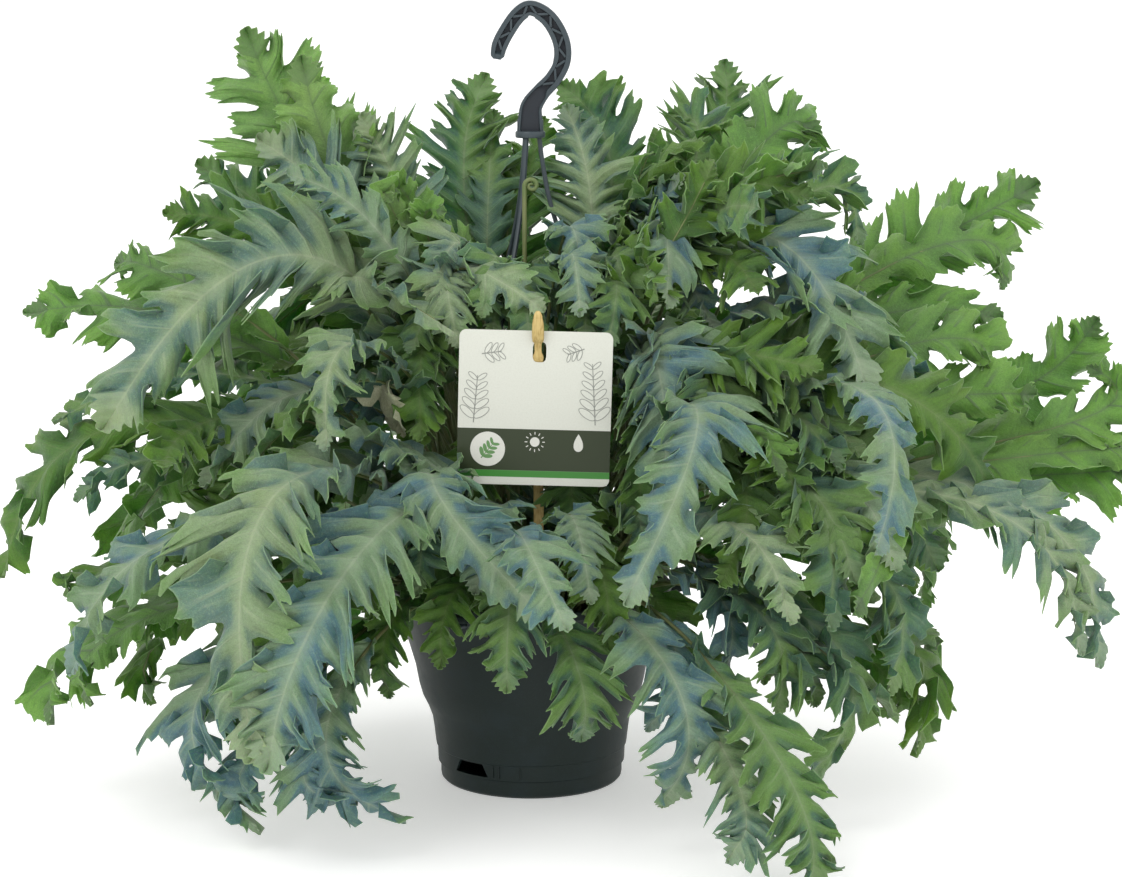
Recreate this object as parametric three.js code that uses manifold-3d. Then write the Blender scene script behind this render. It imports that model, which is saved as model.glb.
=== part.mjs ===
// A ruffled blue star fern in a hanging pot: pot, saucer, soil, hanger, plant label and fronds.
// Millimetres, +Z up. Sizes below count up from the pot's foot; the finished group is lowered by
// seatHeight, so that the origin is the seat of the hook, where the whole part hangs.
// x is to the right, y runs away from the label side.
import * as THREE from "three";
import { mergeVertices } from "three/addons/utils/BufferGeometryUtils.js";
import Module from "manifold-3d";

const wasm = await Module();
wasm.setup();

// Driving dimensions
const seatHeight = 574;
const gap = 0.3;
const wall = 2;
const saucerTop = 14;
const saucerRadius = 69;
const footRadius = 71;
const footTop = 27;
const potFloor = 30;
const rimRadius = 106;
const rimHeight = 150;
const potSides = 28;
const soilEdge = 135;
const soilCrown = 141;
const holeBottom = 122;
const holeWidth = 6;
const legRadius = 1.85;
const legAzimuths = [4, 124, 244];
const flangeRadius = 11;
const flangeTop = 490;
const flangeHeight = 5;
const hookDepth = 9;
const cardWidth = 108;
const cardHeight = 110;
const cardThickness = 0.8;
const cardCorner = 5;
const cardCentre = [4, -117, 301];
const cardTilt = THREE.MathUtils.degToRad(1.5);
const stickWidth = 8;
const stickThickness = 2.2;
const stickFoot = [6.5, -62.7, holeBottom + gap];
const stickLength = 258;
const stickLean = Math.atan(0.25);
const stemHalfWidth = 1.7;
const stemHalfHeight = 1.2;
const bladeThickness = 0.9;
const ribDepth = 0.9;

const up = new THREE.Vector3(0, 0, 1);
const viewer = new THREE.Vector3(0, -1, 0.35).normalize();
const radians = THREE.MathUtils.degToRad;

const plant = new THREE.Group();
plant.position.z = -seatHeight;

function paint(color, roughness) {
  return new THREE.MeshStandardMaterial({ color, roughness, metalness: 0 });
}
const finish = {
  plastic: paint(0x2b3336, 0.55),
  hanger: paint(0x464e58, 0.5),
  soil: paint(0x2e2219, 0.95),
  card: paint(0xe4e4d8, 0.5),
  wood: paint(0xcda564, 0.7),
  blue: paint(0x6f93a0, 0.6),
  sage: paint(0x7f9f80, 0.6),
  light: paint(0x73a24a, 0.55),
  deep: paint(0x47693f, 0.6),
};

function place(name, geometry, material) {
  const mesh = new THREE.Mesh(geometry, material);
  mesh.name = name;
  plant.add(mesh);
  return mesh;
}

// A closed geometry as a solid for cutting and joining, and back again
function solid(geometry) {
  const bare = geometry.clone();
  bare.deleteAttribute("normal");
  bare.deleteAttribute("uv");
  const merged = mergeVertices(bare, 1e-4);
  const index = merged.index ?? new THREE.BufferAttribute(
    Uint32Array.from({ length: merged.attributes.position.count }, (_, i) => i), 1);
  return new wasm.Manifold(new wasm.Mesh({
    numProp: 3,
    vertProperties: Float32Array.from(merged.attributes.position.array),
    triVerts: Uint32Array.from(index.array),
  }));
}

function geometryOf(body) {
  const mesh = body.getMesh();
  const geometry = new THREE.BufferGeometry();
  geometry.setAttribute("position", new THREE.BufferAttribute(mesh.vertProperties, 3));
  geometry.setIndex(new THREE.BufferAttribute(mesh.triVerts, 1));
  return geometry;
}

function lathe(profile, sides) {
  const points = profile.map(([r, z]) => new THREE.Vector2(r, z));
  return new THREE.LatheGeometry(points, sides).rotateX(Math.PI / 2);
}

function box(width, depth, height, x, y, z) {
  return new THREE.BoxGeometry(width, depth, height).translate(x, y, z);
}

function onCircle(radius, azimuth, z) {
  const angle = radians(azimuth);
  return new THREE.Vector3(radius * Math.cos(angle), radius * Math.sin(angle), z);
}

// Saucer: a shallow dish that closes the foot of the pot
place("saucer", lathe([
  [0, 0], [saucerRadius - 4, 0], [saucerRadius - 1, 1.5], [saucerRadius, 5],
  [saucerRadius, saucerTop], [saucerRadius - wall - 1, saucerTop],
  [saucerRadius - wall - 1, wall + 1], [0, wall + 1],
], potSides), finish.plastic);

// Pot: tapered shell over a foot band, with a water window, drain holes and a lug for each leg
const wallSlope = 0.293;
function innerWall(z) {
  return 86 + (z - 90) * wallSlope;
}
const lugDepth = 9;
const lugHeight = 5;
const lugTop = rimHeight - 3;
const lugHole = 2 * legRadius + 1.4;
const legFoot = rimRadius + 4;
function potGeometry() {
  let body = solid(lathe([
    [0, potFloor], [footRadius - wall - 0.5, potFloor], [footRadius - wall - 0.5, saucerTop + gap],
    [footRadius, saucerTop + gap], [footRadius + 0.4, footTop - 1], [footRadius + 1.6, footTop],
    [75.3, 49], [82.6, 66], [88, 90], [rimRadius - 2.4, rimHeight - 8], [rimRadius, rimHeight - 6],
    [rimRadius + 0.5, rimHeight], [rimRadius - 3, rimHeight], [innerWall(rimHeight - 6), rimHeight - 6],
    [86, 90], [80.6, 67], [70.4, potFloor + 3], [0, potFloor + 3],
  ], potSides));
  for (const azimuth of legAzimuths) {
    const lug = box(lugDepth, 10, lugHeight, legFoot - 0.5, 0, lugTop - lugHeight / 2);
    body = body.add(solid(lug.rotateZ(radians(azimuth))));
    const slot = box(lugHole, lugHole, 20, legFoot, 0, lugTop);
    body = body.subtract(solid(slot.rotateZ(radians(azimuth))));
  }
  const windowShape = new THREE.Shape();
  windowShape.moveTo(-13, -4.5);
  windowShape.lineTo(13, -4.5);
  windowShape.lineTo(9, 4.5);
  windowShape.lineTo(-9, 4.5);
  windowShape.closePath();
  const cutter = new THREE.ExtrudeGeometry(windowShape, { depth: 20, bevelEnabled: false });
  cutter.rotateX(Math.PI / 2).translate(0, -55, 21).rotateZ(radians(-39));
  body = body.subtract(solid(cutter));
  for (const azimuth of [45, 135, 225, 315]) {
    const drain = new THREE.CylinderGeometry(4, 4, 12, 8).rotateX(Math.PI / 2);
    const centre = onCircle(40, azimuth, potFloor);
    body = body.subtract(solid(drain.translate(centre.x, centre.y, centre.z)));
  }
  return geometryOf(body);
}
place("pot", potGeometry(), finish.plastic);

// Hanger hook: a flat moulding swept along the middle line of the bar, on a round flange.
// Each row is [x, z] from the seat and the bar's half width there.
const hookLine = [
  [-24.2, -29.5, 3.6], [-22.8, -20, 5], [-18.3, -10.3, 5.4], [-11, -1.2, 5.5], [0, 5.4, 5.5],
  [11, 0.6, 5.7], [19, -9.2, 5.9], [23.8, -21.5, 6], [23.4, -34, 6], [16.8, -46.2, 6.1],
  [8, -55.7, 6.5], [1, -66, 8], [0, -76, 9], [0, -86, 10],
];
function hookGeometry() {
  const middle = new THREE.CatmullRomCurve3(hookLine.map(([x, z]) => new THREE.Vector3(x, z, 0)));
  const widths = new THREE.CatmullRomCurve3(hookLine.map(([, , w], i) => new THREE.Vector3(i, w, 0)));
  const steps = 24;
  const left = [];
  const right = [];
  for (let i = 0; i <= steps; i += 1) {
    const point = middle.getPoint(i / steps);
    const along = middle.getTangent(i / steps);
    const half = widths.getPoint(i / steps).y;
    left.push(new THREE.Vector2(point.x - along.y * half, point.y + along.x * half));
    right.push(new THREE.Vector2(point.x + along.y * half, point.y - along.x * half));
  }
  const tip = new THREE.Vector2(hookLine[0][0] - 0.4, hookLine[0][1] - 3.4);
  const outline = new THREE.Shape([...left, ...right.reverse(), tip]);
  const bar = new THREE.ExtrudeGeometry(outline, { depth: hookDepth, bevelEnabled: false });
  bar.rotateX(Math.PI / 2).translate(0, hookDepth / 2, seatHeight);
  const flangeFoot = flangeTop - flangeHeight;
  const flange = lathe([
    [0, flangeFoot], [flangeRadius, flangeFoot], [flangeRadius, flangeTop - 1],
    [flangeRadius - 1, flangeTop], [0, flangeTop],
  ], 20);
  let body = solid(bar).add(solid(flange));
  for (const azimuth of legAzimuths) {
    const top = onCircle(legTopRadius, azimuth, flangeFoot);
    const socket = new THREE.CylinderGeometry(legRadius + 0.7, legRadius + 0.7, 7, 6);
    body = body.subtract(solid(socket.rotateX(Math.PI / 2).translate(top.x, top.y, top.z)));
  }
  return geometryOf(body);
}
const legTopRadius = 6.5;
place("hanger_hook", hookGeometry(), finish.hanger);

// Hanger legs: a rod from a socket in the flange, bowed outwards, down through a rim lug to a knob.
// Each row is [radius, height] on the rod.
const legLine = [
  [legTopRadius, flangeTop - flangeHeight + 2.2], [8.5, 470], [14, 440], [24, 408], [40, 370],
  [62, 320], [84, 262], [100, 205], [legFoot, 160], [legFoot, lugTop - lugHeight - 3],
];
for (const azimuth of legAzimuths) {
  const route = new THREE.CatmullRomCurve3(legLine.map(([r, z]) => onCircle(r, azimuth, z)));
  const section = new THREE.Shape();
  for (let corner = 0; corner < 6; corner += 1) {
    const angle = (corner / 6) * 2 * Math.PI;
    section[corner ? "lineTo" : "moveTo"](legRadius * Math.cos(angle), legRadius * Math.sin(angle));
  }
  const rod = new THREE.ExtrudeGeometry(section, { steps: 13, extrudePath: route });
  const knob = new THREE.CylinderGeometry(3.6, 2.4, 4, 8).rotateX(Math.PI / 2);
  const foot = onCircle(legFoot, azimuth, lugTop - lugHeight - gap - 2);
  const body = solid(rod).add(solid(knob.translate(foot.x, foot.y, foot.z)));
  place(`hanger_leg_${azimuth}`, geometryOf(body), finish.hanger);
}

// Plant label: a card with rounded corners, threaded on a leaning wooden stick
function roundedCard() {
  const w = cardWidth / 2 - cardCorner;
  const h = cardHeight / 2 - cardCorner;
  const shape = new THREE.Shape();
  shape.absarc(w, h, cardCorner, 0, Math.PI / 2);
  shape.absarc(-w, h, cardCorner, Math.PI / 2, Math.PI);
  shape.absarc(-w, -h, cardCorner, Math.PI, 1.5 * Math.PI);
  shape.absarc(w, -h, cardCorner, 1.5 * Math.PI, 2 * Math.PI);
  const slot = new THREE.Path();
  slot.moveTo(-4, 30);
  slot.lineTo(-4, 50);
  slot.lineTo(8, 50);
  slot.lineTo(8, 30);
  slot.closePath();
  shape.holes.push(slot);
  const card = new THREE.ExtrudeGeometry(shape, { depth: cardThickness, curveSegments: 4, bevelEnabled: false });
  return card.rotateX(Math.PI / 2).rotateY(cardTilt).translate(...cardCentre);
}
place("label_card", roundedCard(), finish.card);

function stickShape(halfWidth, length) {
  const shape = new THREE.Shape();
  shape.moveTo(-halfWidth, 0);
  shape.lineTo(halfWidth, 0);
  shape.lineTo(halfWidth, length - halfWidth);
  shape.absarc(0, length - halfWidth, halfWidth, 0, Math.PI);
  shape.closePath();
  return shape;
}
function stickSolid(halfWidth, thickness, from, length) {
  const shape = stickShape(halfWidth, length);
  const stick = new THREE.ExtrudeGeometry(shape, { depth: thickness, curveSegments: 6, bevelEnabled: false });
  stick.translate(0, from, -thickness / 2).rotateX(Math.PI / 2 + stickLean);
  return stick.translate(...stickFoot);
}
place("label_stick", stickSolid(stickWidth / 2, stickThickness, 0, stickLength), finish.wood);

// Fronds. Each row: name, stem hole [azimuth, radius], lift of the stem, a point at the blade's
// shoulder, the tip, half width, lobe pairs, turn of the blade's face towards -y, tone.
const fronds = [
  ["big_left", 185, 40, 150, [-130, -75, 395], [-295, -150, 290], 70, 8, 0.8, "sage"],
  ["hanging_left", 225, 48, 160, [-118, -128, 350], [-138, -172, 282], 34, 5, 0, "sage"],
  ["top_left", 160, 40, 170, [-145, 20, 435], [-205, 20, 550], 54, 7, 1, "light"],
  ["back_left_high", 150, 60, 150, [-155, 60, 385], [-245, 75, 455], 48, 6, 0.8, "deep"],
  ["far_left_high", 175, 62, 130, [-220, 10, 335], [-375, 25, 352], 42, 7, 0.5, "light"],
  ["far_left_low", 192, 75, 110, [-235, -45, 280], [-385, -65, 165], 46, 7, 0.4, "deep"],
  ["left_middle", 212, 72, 90, [-172, -120, 225], [-312, -180, 132], 56, 7, 0, "blue"],
  ["left_inner", 208, 52, 120, [-148, -72, 308], [-226, -114, 250], 46, 6, 0.2, "blue"],
  ["front_left", 208, 60, 110, [-114, -124, 256], [-178, -276, 80], 64, 9, 0, "sage"],
  ["low_left_droop", 216, 92, 60, [-200, -145, 140], [-188, -178, 15], 52, 7, 0, "blue"],
  ["low_left_front", 234, 92, 62, [-135, -195, 105], [-88, -205, 30], 40, 6, 0, "blue"],
  ["under_front_left", 222, 90, 62, [-112, -100, 138], [-142, -118, 62], 34, 5, 0, "deep"],
  ["left_low", 198, 90, 60, [-235, -60, 160], [-345, -100, 80], 46, 7, 0.2, "light"],
  ["below_card", 260, 74, 90, [-8, -156, 222], [24, -250, 178], 38, 5, 0, "blue"],
  ["over_pot_left", 264, 92, 45, [-12, -140, 175], [-15, -175, 118], 36, 5, 0, "deep"],
  ["over_pot_right", 274, 92, 38, [21, -140, 150], [37, -168, 78], 34, 5, 0, "deep"],
  ["front_right", 303, 66, 130, [105, -132, 306], [61, -234, 178], 50, 8, 0, "blue"],
  ["right_inner", 310, 80, 90, [122, -152, 232], [175, -228, 178], 38, 6, 0, "sage"],
  ["right_middle", 326, 74, 90, [162, -112, 254], [206, -190, 158], 42, 6, 0, "deep"],
  ["right_upper", 332, 52, 120, [150, -85, 302], [212, -140, 268], 44, 6, 0, "deep"],
  ["low_front", 290, 92, 55, [78, -170, 152], [92, -198, 38], 40, 6, 0, "blue"],
  ["low_right", 320, 92, 55, [168, -118, 165], [188, -160, 35], 44, 6, 0, "deep"],
  ["low_right_front", 308, 90, 66, [154, -226, 104], [190, -276, 12], 42, 7, 0, "sage"],
  ["right_droop", 340, 86, 75, [228, -98, 195], [254, -148, 108], 42, 6, 0.2, "deep"],
  ["right_low", 334, 92, 50, [243, -64, 145], [280, -100, 52], 46, 6, 0.2, "deep"],
  ["far_right", 350, 74, 110, [240, -64, 246], [408, -100, 105], 46, 9, 0.3, "sage"],
  ["right_light_low", 346, 56, 125, [258, -10, 286], [364, -42, 300], 34, 5, 0.8, "light"],
  ["right_edge_low", 356, 84, 90, [310, 0, 228], [438, -20, 240], 44, 6, 0.8, "light"],
  ["right_edge_high", 14, 70, 110, [305, 48, 262], [425, 34, 342], 42, 6, 0.9, "light"],
  ["right_light_middle", 4, 42, 150, [228, 38, 340], [345, 26, 350], 42, 5, 0.8, "light"],
  ["right_light_high", 14, 52, 150, [245, 76, 366], [382, 92, 440], 50, 7, 0.9, "light"],
  ["upper_right", 340, 30, 190, [150, -50, 420], [240, -105, 315], 58, 8, 0.5, "blue"],
  ["top_right_light", 30, 40, 180, [152, 22, 455], [205, 32, 492], 38, 5, 1, "light"],
  ["top_right", 52, 62, 180, [126, 88, 440], [150, 106, 522], 46, 6, 1, "deep"],
  ["top_middle_right", 78, 36, 180, [60, 50, 430], [30, 66, 515], 44, 6, 1, "deep"],
  ["top_middle_left", 118, 36, 180, [-50, 60, 425], [-40, 85, 515], 48, 7, 1, "deep"],
  ["crown_front", 276, 28, 200, [25, -45, 420], [40, -92, 372], 32, 5, 0, "blue"],
  ["crown_right", 318, 34, 190, [85, -50, 425], [97, -117, 372], 36, 5, 0, "blue"],
  ["crown_left", 250, 38, 180, [-55, -70, 390], [12, -106, 368], 30, 5, 0, "sage"],
  ["back_low_right", 25, 86, 70, [225, 120, 215], [320, 180, 90], 50, 6, 0, "deep"],
  ["back_low_middle", 78, 86, 70, [70, 200, 215], [95, 310, 90], 50, 6, 0, "deep"],
  ["back_low_left", 132, 86, 70, [-110, 180, 220], [-165, 285, 95], 50, 6, 0, "sage"],
  ["back_side_left", 158, 84, 80, [-225, 95, 215], [-330, 140, 95], 50, 6, 0, "deep"],
  ["back_high_right", 50, 74, 140, [165, 150, 330], [255, 230, 250], 54, 6, 0, "sage"],
  ["back_high_middle", 92, 60, 150, [0, 150, 360], [-10, 270, 280], 54, 6, 0, "blue"],
  ["back_high_left", 134, 66, 140, [-150, 145, 330], [-235, 215, 250], 54, 6, 0, "deep"],
];

// Repeatable scatter between -1 and 1
function scatter(a, b) {
  const value = Math.sin(a * 12.9898 + b * 78.233) * 43758.5453;
  return 2 * (value - Math.floor(value)) - 1;
}

// Middle line of a frond: a cubic curve from the soil through the shoulder to the tip
function frondLine(azimuth, radius, lift, shoulder, tip) {
  const start = onCircle(radius, azimuth, soilCrown);
  const middle = new THREE.Vector3(...shoulder);
  const end = new THREE.Vector3(...tip);
  const first = start.distanceTo(middle);
  const share = THREE.MathUtils.clamp(first / (first + middle.distanceTo(end)), 0.35, 0.66);
  const rest = 1 - share;
  const rise = start.clone().addScaledVector(up, lift);
  const arch = middle.clone().addScaledVector(start, -(rest ** 3));
  arch.addScaledVector(rise, -3 * rest * rest * share).addScaledVector(end, -(share ** 3));
  arch.divideScalar(3 * rest * share * share);
  return { curve: new THREE.CubicBezierCurve3(start, rise, arch, end), share };
}

// Place, direction, side and face of the frond at t
function frameAt(line, outward, roll, bladeStart, t) {
  const place = line.getPoint(t);
  const along = line.getTangent(t);
  const across = up.clone().cross(outward).normalize();
  const side = across.addScaledVector(along, -across.dot(along)).normalize();
  const face = along.clone().cross(side);
  const angle = roll * THREE.MathUtils.smoothstep(t, 0.05, bladeStart);
  const turned = face.clone().multiplyScalar(Math.cos(angle)).addScaledVector(side, Math.sin(angle));
  side.multiplyScalar(Math.cos(angle)).addScaledVector(face, -Math.sin(angle));
  return { place, along, side, face: turned };
}

const stemSteps = 4;
const notchShare = 0.36;
const archShare = 0.22;
const ruffleShare = 0.17;
const lobeLean = radians(38);
// Two teeth with a dip between: share of the lobe's length, of the spacing and of the wave
const lobePoints = [[0.86, -0.34, 1], [0.84, 0.05, 0.55], [1.04, 0.28, 0.2]];
const bladeEnd = 0.94;
function bladeWidth(half, s) {
  return half * Math.sin(Math.PI * (0.1 + 0.78 * s)) ** 0.8;
}

function frondGeometry(row, number) {
  const [, azimuth, radius, lift, shoulder, tip, half, lobes, turn] = row;
  const { curve, share } = frondLine(azimuth, radius, lift, shoulder, tip);
  const bladeStart = share - 0.2;
  const outward = new THREE.Vector3(shoulder[0] + tip[0], shoulder[1] + tip[1], 0);
  outward.addScaledVector(onCircle(radius, azimuth, 0), -2).normalize();
  const level = frameAt(curve, outward, 0, bladeStart, 0.5 + bladeStart / 2);
  const roll = turn * Math.atan2(viewer.dot(level.side), viewer.dot(level.face));
  const frame = (t) => frameAt(curve, outward, roll, bladeStart, t);
  const tops = [];
  const undersides = [];
  const faces = [];
  // A point of the sheet: forward, sideways and raised from a frame, with the sheet's half height
  function vertex(at, forward, aside, raised, halfUp, halfDown) {
    const point = at.place.clone().addScaledVector(at.along, forward).addScaledVector(at.side, aside);
    tops.push(point.clone().addScaledVector(at.face, raised + halfUp));
    undersides.push(point.clone().addScaledVector(at.face, raised - halfDown));
    return tops.length - 1;
  }
  function triangles(...corners) {
    for (let i = 0; i < corners.length; i += 3) faces.push(corners.slice(i, i + 3));
  }
  const thin = bladeThickness / 2;
  // Stem, from the bottom of its hole to the blade
  let previous = null;
  for (let i = -1; i < stemSteps; i += 1) {
    const at = frame(Math.max(i, 0) / stemSteps * bladeStart);
    if (i < 0) at.place.z = holeBottom + gap;
    const ring = [-1, 0, 1].map((side) => vertex(at, 0, side * stemHalfWidth, 0, stemHalfHeight, stemHalfHeight));
    if (previous) {
      triangles(previous[0], previous[1], ring[1], previous[0], ring[1], ring[0]);
      triangles(previous[1], previous[2], ring[2], previous[1], ring[2], ring[1]);
    }
    previous = ring;
  }
  // Blade: a wing along the rib, with a two-toothed lobe on each side of every step
  for (let i = 0; i <= lobes; i += 1) {
    const s = i / lobes;
    const at = frame(bladeStart + (1 - bladeStart) * s * bladeEnd);
    const width = bladeWidth(half, s);
    const notch = i === 0 ? stemHalfWidth : notchShare * width;
    const drop = -archShare * notch * notch / half;
    const ring = [-1, 0, 1].map((side) => (side === 0
      ? vertex(at, 0, 0, 0, thin, thin + ribDepth)
      : vertex(at, 0, side * notch, drop, thin, thin)));
    triangles(previous[0], previous[1], ring[1], previous[0], ring[1], ring[0]);
    triangles(previous[1], previous[2], ring[2], previous[1], ring[2], ring[1]);
    if (i > 0) {
      const between = frame(bladeStart + (1 - bladeStart) * (i - 0.5) / lobes * bladeEnd);
      const reach = bladeWidth(half, (i - 0.5) / lobes);
      const before = frame(bladeStart + (1 - bladeStart) * (i - 1) / lobes * bladeEnd);
      const spacing = at.place.distanceTo(before.place);
      for (const side of [-1, 1]) {
        const wave = ((i + (side > 0 ? 1 : 0)) % 2 === 0 ? 1 : -1) * (1 + 0.4 * scatter(number, i * side));
        const length = reach * (1 + 0.12 * scatter(number + 0.5, i * side)) - notchShare * reach;
        const [first, dip, last] = lobePoints.map(([out, over, lift]) => {
          const aside = notchShare * reach + length * out * Math.cos(lobeLean) - over * spacing * Math.sin(lobeLean);
          const forward = length * out * Math.sin(lobeLean) + over * spacing * Math.cos(lobeLean);
          const raised = -archShare * aside * aside / half + wave * lift * ruffleShare * half;
          return vertex(between, forward, side * aside, raised, thin, thin);
        });
        const a = side < 0 ? previous[0] : previous[2];
        const b = side < 0 ? ring[0] : ring[2];
        const lobe = [a, first, dip, a, dip, b, b, dip, last];
        if (side < 0) for (let k = 0; k < 9; k += 3) triangles(lobe[k], lobe[k + 2], lobe[k + 1]);
        else triangles(...lobe);
      }
    }
    previous = ring;
  }
  // Terminal lobe
  const end = frame(bladeEnd + (1 - bladeEnd) * bladeStart);
  const reach = bladeWidth(half, 1);
  const point = vertex(end, reach * 1.5, 0, -archShare * reach, thin, thin);
  const teeth = [-1, 1].map((side) => vertex(end, reach * 0.95, side * reach * 0.5, -1, thin, thin));
  triangles(previous[0], previous[1], teeth[0], previous[1], point, teeth[0]);
  triangles(previous[1], teeth[1], point, previous[1], previous[2], teeth[1]);
  return closedSheet(tops, undersides, faces);
}

// A solid between two sheets that share their triangles, walled along the free edges
function closedSheet(tops, undersides, faces) {
  const count = tops.length;
  const index = [];
  const edges = new Map();
  for (const [a, b, c] of faces) {
    index.push(a, c, b, a + count, b + count, c + count);
    for (const [from, to] of [[a, b], [b, c], [c, a]]) edges.set(`${from} ${to}`, [from, to]);
  }
  for (const [from, to] of edges.values()) {
    if (!edges.has(`${to} ${from}`)) index.push(from, to, to + count, from, to + count, from + count);
  }
  const geometry = new THREE.BufferGeometry();
  const corners = [...tops, ...undersides].flatMap((point) => {
    point.z = Math.max(point.z, 0.2);
    return point.toArray();
  });
  geometry.setAttribute("position", new THREE.Float32BufferAttribute(corners, 3));
  geometry.setIndex(index);
  return geometry;
}

fronds.forEach((row, number) => {
  place(`frond_${row[0]}`, frondGeometry(row, number), finish[row.at(-1)]);
});

// Soil: fills the pot, with a plain hole for each stem and one for the stick
function soilGeometry() {
  let body = solid(lathe([
    [0, potFloor + 3 + gap], [69.8, potFloor + 3 + gap], [80, 67.4], [85.2, 90.4],
    [innerWall(soilEdge) - 2 * gap - 0.4, soilEdge], [0, soilCrown],
  ], potSides));
  for (const [, azimuth, radius] of fronds) {
    const centre = onCircle(radius, azimuth, holeBottom + 15);
    body = body.subtract(solid(box(holeWidth, holeWidth, 30, centre.x, centre.y, centre.z)));
  }
  const stickHole = stickSolid(stickWidth / 2 + 0.6, stickThickness + 1.2, -gap, 60);
  return geometryOf(body.subtract(solid(stickHole)));
}
place("soil", soilGeometry(), finish.soil);

const group = new THREE.Group();
group.add(plant);

export default group;
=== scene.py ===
"""A ruffled blue star fern in a hanging pot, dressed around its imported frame.

Plan sizes are in millimetres above the pot's foot, as the frame was planned; metres() turns them
into the frame's own metres, whose origin is the seat of the hook.
"""
import math
from typing import NamedTuple

import bpy
from mathutils import Matrix, Vector


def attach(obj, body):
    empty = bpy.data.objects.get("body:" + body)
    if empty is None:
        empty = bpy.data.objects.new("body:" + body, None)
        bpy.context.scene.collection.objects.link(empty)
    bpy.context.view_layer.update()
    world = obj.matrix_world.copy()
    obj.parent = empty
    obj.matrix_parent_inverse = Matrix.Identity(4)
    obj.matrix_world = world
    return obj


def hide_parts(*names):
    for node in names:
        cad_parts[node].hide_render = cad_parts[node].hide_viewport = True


bl_info = {
    "name": "Hanging blue star fern",
    "version": (1, 0, 0),
    "blender": (4, 5, 0),
    "location": "View3D > Sidebar > Fern",
    "description": "Builds a ruffled fern in a hanging pot around its packed frame",
    "category": "Object",
}

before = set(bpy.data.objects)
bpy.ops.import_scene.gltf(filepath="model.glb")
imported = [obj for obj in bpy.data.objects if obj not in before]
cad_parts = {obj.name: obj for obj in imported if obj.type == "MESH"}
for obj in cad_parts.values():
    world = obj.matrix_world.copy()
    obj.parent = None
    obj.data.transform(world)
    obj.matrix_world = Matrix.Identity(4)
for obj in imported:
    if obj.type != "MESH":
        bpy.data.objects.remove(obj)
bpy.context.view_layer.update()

BODY = "root"
UP = Vector((0, 0, 1))
VIEWER = Vector((0, -1, 0.35)).normalized()
GOLDEN_ANGLE = 137.508
# Heights of the hook's seat, of the middle of the soil and of the bottom of the stems' holes
SEAT_HEIGHT = 574.0
SOIL_CROWN = 141.0
HOLE_BOTTOM = 122.3

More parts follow.
